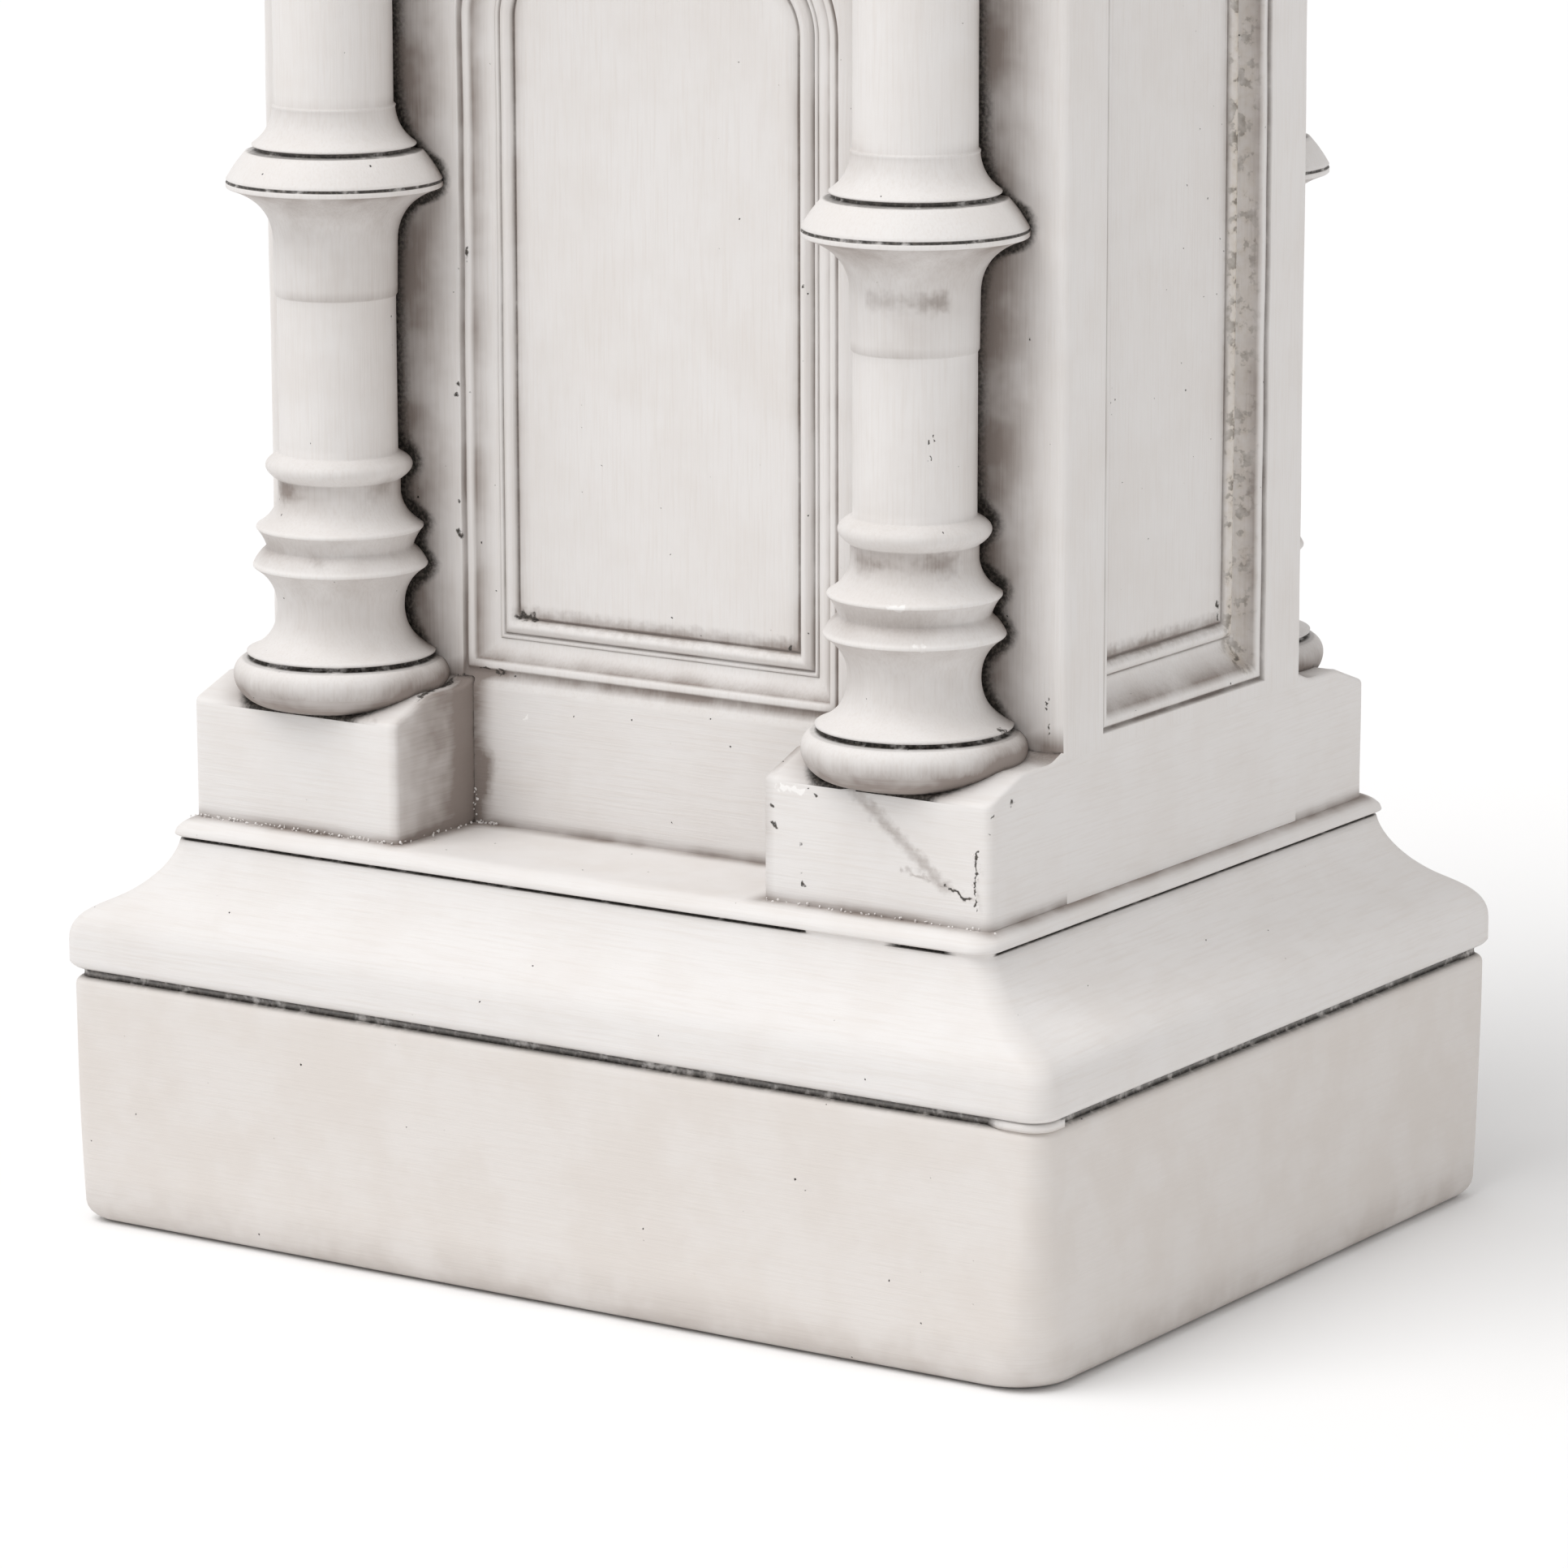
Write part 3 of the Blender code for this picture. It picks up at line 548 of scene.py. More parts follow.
@dataclass
class Foot:
    """Plinth block, ogee moulding and fillet, up to the ledge that the body stands on."""

    height: float = 0.0755
    draft: float = 0.001
    ledge_run: float = 0.054
    foot_round: float = 0.006
    arris: float = 0.0025
    corner_round: float = 0.0055
    corner_round_foot: float = 0.0070
    worn_round: float = 0.0070
    worn_round_foot: float = 0.0160
    unevenness: float = 0.0003
    counts: tuple = (136, 102, 9)
    moulding: Moulding = field(default_factory=Moulding)
    filled: tuple = (
        Stretch((0.156, -0.140, 0.070), (0.180, -0.117, 0.084)),
        Stretch((0.131, -0.120, 0.115), (0.150, -0.108, 0.122)),
        Stretch((0.083, -0.120, 0.115), (0.110, -0.108, 0.122)),
    )

    @property
    def groove_top(self) -> float:
        """Height of the wide groove's top, from which the moulding climbs."""
        return self.height + self.moulding.groove_height

    def plinth_levels(self) -> list[Level]:
        """Levels of the plinth block below the wide groove."""
        found = []
        for turn in np.linspace(0, math.pi / 2, 7):
            inset = self.foot_round * (1 - math.sin(turn))
            found.append(PLINTH.further(-inset, self.foot_round * (1 - math.cos(turn))))
        wall_top = self.height - self.arris
        for height in np.linspace(self.foot_round, wall_top, 24)[1:]:
            found.append(PLINTH.further(0, height))
        for turn in np.linspace(0, math.pi / 2, 6)[1:]:
            inset = self.arris * (1 - math.cos(turn))
            # Darker where the arris turns into the groove: dirt and painted shade
            grime = max(0.0, 4 * turn / math.pi - 1)
            found.append(PLINTH.further(-inset, wall_top + self.arris * math.sin(turn), 0, grime))
        return found

    def ledge_levels(self) -> list[Level]:
        """Levels of the flat ledge, from the fillet's top inwards under the body."""
        last = self.moulding.levels()[-1]
        height = self.groove_top + last.height
        return [last.further(-inset, height) for inset in np.linspace(0.003, self.ledge_run, 17)]

    def ring(self, level: Level) -> tuple[np.ndarray, np.ndarray]:
        """Ring of one level.

        Args:
            level: The level.

        Returns:
            Its points, and how open its groove is at each.
        """
        worn = max(0.0, 1 - level.height / (self.height - self.arris)) ** 2
        plain = self.corner_round + (self.corner_round_foot - self.corner_round) * worn
        front_right = self.worn_round + (self.worn_round_foot - self.worn_round) * worn
        draft = self.draft * worn
        radii = (plain, plain, plain, front_right)
        ring = rounded_ring(level.half_x - draft, level.half_y - draft, radii, level.height, self.counts)
        is_open = openness(ring, self.filled)
        outwards = ring[:, :2] / np.array([level.half_x, level.half_y])
        outwards = np.where(np.abs(outwards) > 0.9, np.sign(outwards), 0)
        length = np.maximum(np.linalg.norm(outwards, axis=1, keepdims=True), 1)
        ring[:, :2] -= outwards / length * (level.cut * is_open[:, None])
        return ring, is_open

    def build(self) -> Object:
        """Builds the foot as one closed shell."""
        shell = Shell()
        cast = HandCast(3, 0.03, 0.14)
        ledge = self.ledge_levels()
        climbing = self.moulding.levels()
        moulding = [level._replace(height=level.height + self.groove_top) for level in climbing]
        rows = []
        for level in self.plinth_levels() + moulding + ledge:
            ring, is_open = self.ring(level)
            ring[:, :2] *= 1 - (self.unevenness / level.half_x) * cast.at(ring)[:, None]
            rows.append(shell.add(ring, level.grime * is_open, level.wash))
        shell.join(rows)
        first, last = shell.points[0], shell.points[-1]
        self.close(shell, rows[0], first, False)
        self.close(shell, rows[-1], last, True)
        return shell.finish("foot", self.gap(shell.all_points()))

    @staticmethod
    def close(shell: Shell, ring: np.ndarray, points: np.ndarray, upwards: bool) -> None:
        """Closes an end with smaller rings and a point.

        Args:
            shell: Shell that the end belongs to.
            ring: Indices of the end ring.
            points: Its points.
            upwards: Whether the end faces up.
        """
        near = ring
        for share in (0.9, 0.6, 0.3):
            smaller = points * np.array([share, share, 1])
            far = shell.add(smaller)
            shell.strip(near if upwards else far, far if upwards else near)
            near = far
        centre = shell.add(points.mean(axis=0) * np.array([0, 0, 1]))
        shell.cap(near if upwards else near[::-1], centre)

    def gap(self, points: np.ndarray) -> np.ndarray:
        """Distance from the body and the blocks, for points on the ledge."""
        sizes = np.abs(points[:, :2])
        body = np.linalg.norm(np.maximum(sizes - np.array([STAND.body_half_x, STAND.body_half_y]), 0), axis=1)
        inner = STAND.body_half_x - STAND.block_width
        side = np.maximum(np.maximum(inner - sizes[:, 0], sizes[:, 0] - STAND.body_half_x), 0)
        front = np.maximum(sizes[:, 1] - STAND.block_front, 0)
        block = np.hypot(side, front)
        below = np.maximum(STAND.ledge - points[:, 2], 0) * 4
        return np.minimum(body, block) * 2.5 + 0.002 + below


@dataclass
class Cornice:
    """Fillet, ogee and groove turned over, under the slab that the pot stands on."""

    slab_height: float = 0.0505
    edge_round: float = 0.003
    corner_round: float = 0.0055
    worn_round: float = 0.0070
    unevenness: float = 0.0003
    counts: tuple = (112, 84, 7)
    moulding: Moulding = field(default_factory=Moulding)

    def levels(self) -> list[Level]:
        """Levels from the body up to the slab's top edge."""
        climbing = self.moulding.levels()
        reach = climbing[-1].height
        found = []
        for level in reversed(climbing):
            found.append(level._replace(height=STAND.top_block_top + reach - level.height))
        slab_foot = STAND.top_block_top + reach + self.moulding.groove_height
        slab_top = slab_foot + self.slab_height
        under, over = self.edge_round / 2, self.edge_round
        for turn in np.linspace(0, math.pi / 2, 5):
            height = slab_foot + under * (1 - math.cos(turn))
            found.append(PLINTH.further(-under * (1 - math.sin(turn)), height))
        for height in np.linspace(slab_foot + under, slab_top - over, 17)[1:]:
            found.append(PLINTH.further(0, height))
        for turn in np.linspace(0, math.pi / 2, 7)[1:]:
            found.append(PLINTH.further(-over * (1 - math.cos(turn)), slab_top - over * (1 - math.sin(turn))))
        return found + [PLINTH.further(-inset, slab_top) for inset in np.linspace(0.006, 0.1, 20)]

    def build(self) -> Object:
        """Builds the cornice as one closed shell."""
        shell = Shell()
        cast = HandCast(11, 0.03, 0.14)
        radii = (self.corner_round,) * 3 + (self.worn_round,)
        levels = self.levels()
        inner = [levels[0].further(-inset, levels[0].height) for inset in np.linspace(0.05, 0.003, 15)]
        rows = []
        for level in inner + levels:
            ring = rounded_ring(level.half_x, level.half_y, radii, level.height, self.counts)
            halves = np.array([level.half_x, level.half_y])
            cast_in = 1 - (self.unevenness / level.half_x) * cast.at(ring)[:, None]
            ring[:, :2] *= (halves - level.cut) / halves * cast_in
            rows.append(shell.add(ring, level.grime, level.wash))
        shell.join(rows)
        Foot.close(shell, rows[0], shell.points[0], False)
        Foot.close(shell, rows[-1], shell.points[len(rows) - 1], True)
        return shell.finish("cornice")


@dataclass
class Panel:
    """Sunk panel with a Tudor arch, and the frame of grooves, cove and bead round its field."""

    width: float
    foot: float
    springing: float
    shoulder: float
    crown: float
    sill_rise: float
    sill_start: float
    sill_end: float
    field_depth: float
    cove_width: float
    second_fillet: float
    groove_grime: float
    shift: float = 0.0
    turn: float = math.radians(50)
    groove_width: float = 0.0016
    groove_depth: float = 0.0018
    fillet_width: float = 0.0020
    fillet_depth: float = 0.0009
    cove_start_depth: float = 0.0022
    bead_width: float = 0.0046
    bead_rise: float = 0.0019
    quirk: float = 0.0005

    def outline(self, inset: float, counts: tuple) -> np.ndarray:
        """Outline moved in by inset, anticlockwise from its lower left corner.

        Args:
            inset: Distance inside the panel's edge.
            counts: Steps along the sill, a stile, a shoulder and half a crown.

        Returns:
            Rows of (across, height).
        """
        along_sill, along_stile, round_shoulder, round_crown = counts
        part = min(1.0, max(0.0, (inset - self.sill_start) / (self.sill_end - self.sill_start)))
        low = self.foot + inset + self.sill_rise * part
        half = self.width / 2
        shoulder_x = half - self.shoulder
        crown_x = shoulder_x - (self.crown - self.shoulder) * math.cos(self.turn)
        crown_z = self.springing - (self.crown - self.shoulder) * math.sin(self.turn)
        along = np.linspace(inset - half, half - inset, along_sill + 1)
        sill = np.column_stack([along, np.full(along_sill + 1, low)])
        heights = np.linspace(low, self.springing, along_stile + 1)[1:]
        stile = np.column_stack([np.full(along_stile, half - inset), heights])
        angle = np.linspace(0, self.turn, round_shoulder + 1)[1:]
        reach = self.shoulder - inset
        centre = np.array([shoulder_x, self.springing])
        shoulder = centre + reach * np.column_stack([np.cos(angle), np.sin(angle)])
        reach = self.crown - inset
        apex = math.acos(-crown_x / reach)
        angle = np.linspace(self.turn, apex, round_crown + 1)[1:]
        crown = np.array([crown_x, crown_z]) + reach * np.column_stack([np.cos(angle), np.sin(angle)])
        climb = np.concatenate([stile, shoulder, crown])
        mirrored = climb[:-1][::-1] * np.array([-1, 1])
        return np.concatenate([sill, climb, mirrored])

    def profile(self) -> list[tuple]:
        """(inset, depth, grime, wash) across the frame, from the wall to the field. In the grooves, the
        quirks and the cove's deep side they paint shade as well as dirt and wash.
        """
        found = [(0.0, 0.0, 0.0, 0.0), (0.00012, 0.00008, 0.0, 0.1)]
        width, depth, soot = self.groove_width, self.groove_depth, self.groove_grime
        for share, sink, dark in ((0.2, 0.45, 0.5), (0.4, 0.9, 0.9), (0.6, 1.0, 1.0), (0.8, 0.8, 0.9)):
            found.append((width * share, depth * sink, soot * dark, 0.9 * dark))
        fillet_end = width + self.fillet_width
        found += [
            (width, self.fillet_depth, 0.1 * soot, 0.45),
            (width + 0.0004, self.fillet_depth - 0.0001, 0, 0.1),
            (fillet_end - 0.0005, self.fillet_depth - 0.0001, 0, 0),
            (fillet_end, self.fillet_depth + 0.0002, 0, 0.1),
        ]
        field_depth = self.field_depth
        cove_start = fillet_end + self.quirk
        cove_end = fillet_end + self.cove_width - self.second_fillet
        cove_depth = field_depth - self.cove_start_depth
        for share in np.linspace(0, 1, 13):
            sink = self.cove_start_depth + cove_depth * math.sin(share * math.pi / 2)
            found.append((cove_start + (cove_end - cove_start) * share, sink, 0.0, 0.8 * (1 - share) ** 2.2))
        if self.second_fillet:
            found += [
                (cove_end + 0.0002, field_depth + 0.0002, 0.12, 0.8),
                (cove_end + 0.0004, field_depth - 0.0004, 0.0, 0.1),
                (cove_end + self.second_fillet - 0.0002, field_depth - 0.0004, 0.0, 0.0),
            ]
        bead_start = fillet_end + self.cove_width + self.quirk
        found.append((bead_start - 0.0001, field_depth + self.quirk, 0.3, 0.9))
        for share in np.linspace(0.06, 0.94, 9):
            rise = self.bead_rise * math.sin(share * math.pi)
            edge = max(0.0, abs(2 * share - 1) - 0.75) * 3
            found.append((bead_start + self.bead_width * share, field_depth - rise, 0.0, edge))
        bead_end = bead_start + self.bead_width
        field_edge = bead_end + self.quirk
        found += [
            (bead_end + 0.0001, field_depth + self.quirk, 0.55, 1.0),
            (field_edge, field_depth, 0.3, 0.9),
            (field_edge + 0.0005, field_depth - 0.0001, 0.0, 0.4),
            (field_edge + 0.0020, field_depth, 0.0, 0.15),
            (field_edge + 0.0045, field_depth, 0.0, 0.0),
        ]
        return found


@dataclass
class Wall:
    """One side of the body: which way it faces, how wide it is and the panel sunk in it."""

    outwards: tuple
    half_width: float
    distance: float
    panel: Panel
    sill_steps: int

    def place(self, flat: np.ndarray, depth: Numbers) -> np.ndarray:
        """Turns (across, height) and a depth below the wall's face into points.

        Args:
            flat: Rows of (across, height).
            depth: Depth below the face.

        Returns:
            Rows of x, y, z.
        """
        out = np.array(self.outwards, float)
        right = np.array([-out[1], out[0]])
        plane = flat[:, :1] * right + (self.distance - np.reshape(depth, (-1, 1))) * out
        return np.column_stack([plane, flat[:, 1]])


@dataclass
class Body:
    """Plain shaft of the pedestal, with a sunk panel in each of its four walls."""

    edge_round: float = 0.003
    unevenness: float = 0.00025
    stile_steps: int = 84
    shoulder_steps: int = 14
    crown_steps: int = 26
    wall_rings: int = 22
    field_rings: int = 12
    stile_top: float = 0.400
    # Height over which the walls carry the dirt and painted shade beside the colonnettes
    dirt_and_shade_foot: float = 0.1575

    def walls(self) -> list[Wall]:
        """The four walls, anticlockwise from the front."""
        front = {"width": 0.1320, "foot": 0.1645, "springing": 0.3610, "shoulder": 0.034, "crown": 0.120,
                 "sill_rise": 0.0042, "sill_start": 0.0, "sill_end": 0.0008, "field_depth": 0.0055,
                 "cove_width": 0.0078, "second_fillet": 0.0014, "groove_grime": 0.12}
        side = {"width": 0.0920, "foot": 0.1690, "springing": 0.3845, "shoulder": 0.024, "crown": 0.090,
                "sill_rise": 0.0064, "sill_start": 0.0036, "sill_end": 0.0066, "field_depth": 0.0082,
                "cove_width": 0.0030, "second_fillet": 0.0, "groove_grime": 0.45}
        half_x, half_y = STAND.body_half_x, STAND.body_half_y
        return [
            Wall((0, -1), half_x, half_y, Panel(**front, shift=-0.0018), 44),
            Wall((1, 0), half_y, half_x, Panel(**side), 32),
            Wall((0, 1), half_x, half_y, Panel(**front, shift=0.0018), 44),
            Wall((-1, 0), half_y, half_x, Panel(**side), 32),
        ]

    def border(self, wall: Wall) -> np.ndarray:
        """Edge of a wall, in step with its panel's outline."""
        half = wall.half_width - self.edge_round
        low = STAND.ledge - STAND.overlap
        high = STAND.top_block_top + STAND.overlap
        along = np.linspace(-half, half, wall.sill_steps + 1)
        sill = np.column_stack([along, np.full(wall.sill_steps + 1, low)])
        lower = np.linspace(low, self.stile_top, self.stile_steps + 1)[1:]
        upper = np.linspace(self.stile_top, high, self.shoulder_steps + 1)[1:]
        climb = np.concatenate([lower, upper])
        stile = np.column_stack([np.full(len(climb), half), climb])
        back = np.linspace(half, 0, self.crown_steps + 1)[1:]
        head = np.column_stack([back, np.full(self.crown_steps, high)])
        rise = np.concatenate([stile, head])
        return np.concatenate([sill, rise, rise[:-1][::-1] * np.array([-1, 1])])

    def wall_rows(self, shell: Shell, wall: Wall) -> np.ndarray:
        """Adds one wall to the shell.

        Args:
            shell: Shell of the body.
            wall: The wall.

        Returns:
            Indices of its border.
        """
        counts = (wall.sill_steps, self.stile_steps, self.shoulder_steps, self.crown_steps)
        shift = np.array([wall.panel.shift, 0])
        border = self.border(wall)
        outline = wall.panel.outline(0, counts) + shift
        rows = []
        for share in np.linspace(0, 1, self.wall_rings + 1)[:-1]:
            eased = 1 - (1 - share) ** 1.25
            rows.append(shell.add(wall.place(border * (1 - eased) + outline * eased, 0)))
        near_edge = outline + (border - outline) * 0.004
        rows.append(shell.add(wall.place(near_edge, 0)))
        for inset, depth, grime, wash in wall.panel.profile():
            ring = wall.panel.outline(inset, counts) + shift
            on_sill = np.arange(len(ring)) <= wall.sill_steps
            bevel = on_sill & (0 < inset < wall.panel.groove_width * 0.3) & (wall.panel.sill_start == 0)
            soot = grime * np.where(on_sill, 0.6, 1)
            rows.append(shell.add(wall.place(ring, depth), soot, np.where(bevel, 0.05, wash)))
        centre = np.array([wall.panel.shift, (wall.panel.foot + wall.panel.springing) / 2])
        for share in np.linspace(0, 1, self.field_rings + 1)[1:-1]:
            shrunk = ring + (centre - ring) * share
            rows.append(shell.add(wall.place(shrunk, wall.panel.field_depth)))
        shell.join(rows)
        shell.cap(rows[-1], shell.add(wall.place(centre[None, :], wall.panel.field_depth)))
        return rows[0]

    def build(self) -> Object:
        """Builds the body as one closed shell."""
        shell = Shell()
        walls = self.walls()
        borders = [self.wall_rows(shell, wall) for wall in walls]
        climb = self.stile_steps + self.shoulder_steps
        foot_ring, head_ring = [], []
        for index, wall in enumerate(walls):
            border, after = borders[index], borders[(index + 1) % 4]
            right_edge = border[wall.sill_steps + np.arange(climb + 1)]
            left_edge = after[(-np.arange(climb + 1)) % len(after)]
            columns = self.corner_columns(shell, wall, right_edge)
            columns = [right_edge] + columns + [left_edge]
            for near, far in zip(columns, columns[1:]):
                shell.strip(near, far, closed=False)
                shell.faces[-climb:] = [face[::-1] for face in shell.faces[-climb:]]
            foot_ring += list(border[: wall.sill_steps + 1]) + [column[0] for column in columns[1:-1]]
            head = border[wall.sill_steps + climb: wall.sill_steps + climb + 2 * self.crown_steps + 1]
            head_ring += list(head[::-1]) + [column[-1] for column in columns[1:-1]]
        low = STAND.ledge - STAND.overlap
        high = STAND.top_block_top + STAND.overlap
        shell.cap(np.array(foot_ring)[::-1], shell.add(np.array([[0, 0, low]])))
        shell.cap(np.array(head_ring), shell.add(np.array([[0, 0, high]])))
        points = shell.all_points()
        gap = self.gap(points)
        shell.points = [WALL_CAST.pull(points, self.unevenness)]
        return shell.finish("body", gap, np.where(shell.all_points()[:, 2] > self.dirt_and_shade_foot, 1.0, 0.0))

    def corner_columns(self, shell: Shell, wall: Wall, edge: np.ndarray, steps: int = 5) -> list[np.ndarray]:
        """Adds the points of the round corner after a wall.

        Args:
            shell: Shell of the body.
            wall: The wall that ends at the corner.
            edge: Indices of the wall's right edge.
            steps: Steps round the corner.

        Returns:
            Indices of the columns between the two walls.
        """
        heights = shell.all_points()[edge, 2]
        out = np.array(wall.outwards, float)
        right = np.array([-out[1], out[0]])
        axis = right * (wall.half_width - self.edge_round) + out * (wall.distance - self.edge_round)
        columns = []
        for turn in np.linspace(0, math.pi / 2, steps + 1)[1:-1]:
            spot = axis + self.edge_round * (out * math.cos(turn) + right * math.sin(turn))
            columns.append(shell.add(np.column_stack([np.tile(spot, (len(heights), 1)), heights])))
        return columns

    @staticmethod
    def gap(points: np.ndarray) -> np.ndarray:
        """Distance from blocks and ledge, on the front and the back wall."""
        sizes = np.abs(points)
        inner = STAND.body_half_x - STAND.block_width
        beside = np.maximum(inner - sizes[:, 0], 0)
        above = np.maximum(points[:, 2] - STAND.block_top(np.array(STAND.body_half_y)), 0)
        block = np.hypot(beside, above) * 2.2 + 0.0012
        on_side = sizes[:, 1] < STAND.body_half_y - 0.002
        return np.where(on_side, FAR_OFF, np.minimum(block, over_ledge(points[:, 2])))


@dataclass
class Blocks:
    """Blocks under and over the colonnettes, cast onto the body's walls."""

    outer_round: float = 0.0025
    inner_round: float = 0.0012
    arris: float = 0.0013
    unevenness: float = 0.00025
    cap_inset: float = 0.0185
    # Distance from a colonnette's seat within which a block carries the dirt and painted shade beside it
    dirt_and_shade_reach: float = 0.001
    sunk_edge: tuple = ((0.0006, 0.0560), (0.0002, 0.0610), (0.0, 0.0650))

    def outline(self, inset: float) -> np.ndarray:
        """Plan of the front right block, anticlockwise from above, moved in by inset."""
        left = STAND.body_half_x - STAND.block_width + inset
        right = STAND.body_half_x - inset
        back = STAND.body_half_y - STAND.overlap
        front = STAND.block_front - inset
        turn = np.linspace(0, math.pi / 2, 6)
        cosine, sine = np.cos(turn), np.sin(turn)
        radius = max(self.outer_round - inset, 0.0003)
        right_arc = np.column_stack([right - radius + radius * cosine, radius - front - radius * sine])
        radius = max(self.inner_round - inset, 0.0002)
        left_arc = np.column_stack([left + radius - radius * sine, radius - front - radius * cosine])
        depth = np.linspace(0, 1, 17)[:-1, None]
        across = np.linspace(0, 1, 30)[1:-1, None]
        sunk = np.array([(right - sink, -y) for sink, y in self.sunk_edge])
        right_side = np.concatenate([sunk[:-1], sunk[-1] * (1 - depth) + right_arc[0] * depth])
        front_side = right_arc[-1] * (1 - across) + left_arc[0] * across
        left_side = left_arc[-1] * depth[::-1] + np.array([left, -back]) * (1 - depth[::-1])
        ring = np.concatenate([right_side, right_arc, front_side, left_arc, left_side])
        return ring[::-1]

    def build(self) -> list[Object]:
        """Builds the eight blocks."""
        made = []
        for quarter in QUARTERS:
            side = f"{'left' if quarter[0] < 0 else 'right'}_{'front' if quarter[1] < 0 else 'back'}"
            made.append(self.block(f"low_block_{side}", quarter, True))
            made.append(self.block(f"top_block_{side}", quarter, False))
        return made

    def block(self, name: str, quarter: tuple, low: bool) -> Object:
        """Builds one block as a closed shell.

        Args:
            name: Name of the piece.
            quarter: Signs of its x and y.
            low: Whether it is a low block, with a sloped top, or a top one, turned over.

        Returns:
            The block.
        """
        foot = STAND.ledge - STAND.overlap
        insets = [(0, share, 0) for share in np.linspace(0, 1, 20)]
        for turn in np.linspace(0, math.pi / 2, 6)[1:]:
            insets.append((self.arris * (1 - math.cos(turn)), 1, math.sin(turn)))
        for inset in np.linspace(self.arris, self.cap_inset, 11)[1:]:
            insets.append((inset, 1, 1))
        rings = []
        for inset, share, rise in insets:
            flat = self.outline(inset)
            if low:
                top = STAND.block_top(flat[:, 1])
                base = foot
            else:
                top = np.full(len(flat), STAND.top_block_top - STAND.top_block_foot + STAND.overlap)
                base = 0.0
            height = base + (top - self.arris - base) * share + self.arris * rise
            rings.append(np.column_stack([flat, height]))
        signs = np.array([quarter[0], -quarter[1], 1])
        flip = quarter[0] * -quarter[1] < 0
        if not low:
            signs[2] = -1
            flip = not flip
        shell = Shell()
        rows = []
        for ring in rings:
            ring = ring * signs
            if not low:
                ring[:, 2] += STAND.top_block_top + STAND.overlap
            ring = WALL_CAST.pull(ring, self.unevenness)
            rows.append(shell.add(ring[::-1] if flip else ring))
        shell.join(rows)
        first, last = shell.points[0], shell.points[-1]
        shell.cap(rows[0][::-1], shell.add(first.mean(axis=0)))
        shell.cap(rows[-1], shell.add(last.mean(axis=0)))
        points = shell.all_points()
        sizes = np.abs(points)
        inner = np.clip((STAND.body_half_x - STAND.block_width + 0.002 - sizes[:, 0]) / 0.001, 0, 1)
        to_wall = np.clip(1 - (sizes[:, 1] - STAND.body_half_y) / STAND.block_reach, 0, 1)
        # Wash and painted shade on the blocks' inner sides, darkest at the wall
        shell.wash = [inner * (0.25 + 0.75 * to_wall**0.7)]
        on_side = sizes[:, 0] > STAND.body_half_x - 0.001
        wall = np.where(on_side, FAR_OFF, (sizes[:, 1] - STAND.body_half_y) * 1.3 + 0.0012)
        if low:
            ledge = over_ledge(points[:, 2])
            from_seat = STAND.block_top(points[:, 1]) - points[:, 2]
        else:
            ledge = np.full(len(points), FAR_OFF)
            from_seat = points[:, 2] - STAND.top_block_foot
        return shell.finish(name, np.minimum(wall, ledge), np.where(from_seat < self.dirt_and_shade_reach, 1.0, 0.0))


class TurnedLine:
    """Profile of a turned piece, drawn from its foot to its head."""

    def __init__(self, radius: float, height: float) -> None:
        """Starts the line on a point."""
        self.points = [(radius, height, 0.0, 0.0)]

    def to(self, radius: float, height: float, steps: int = 1, grime: float = 0.0, wash: float = 0.0) -> None:
        """Runs straight to a point, in steps, with grime and wash on the points that it adds."""
        start = self.points[-1]
        for share in np.linspace(0, 1, steps + 1)[1:]:
            out = start[0] + (radius - start[0]) * share
            self.points.append((out, start[1] + (height - start[1]) * share, grime, wash))

    def bow(self, radius: float, height: float, bulge: float, steps: int, wash: tuple = (0.0, 0.0)) -> None:
        """Runs on an arc to a point, with wash that changes from the first value to the second."""
        start = self.points[-1]
        arc = bow(start[:2], (radius, height), bulge, steps)
        for step, (out, level) in enumerate(arc, 1):
            self.points.append((out, level, 0.0, wash[0] + (wash[1] - wash[0]) * step / steps))

    def curve(self, first: tuple, second: tuple, end: tuple, steps: int, wash: tuple = (0.0, 0.0)) -> None:
        """Runs on a cubic curve to a point, with wash that changes from the first value to the second."""
        start = self.points[-1]
        for step, (out, level) in enumerate(cubic(start[:2], first, second, end, steps), 1):
            self.points.append((out, level, 0.0, wash[0] + (wash[1] - wash[0]) * step / steps))


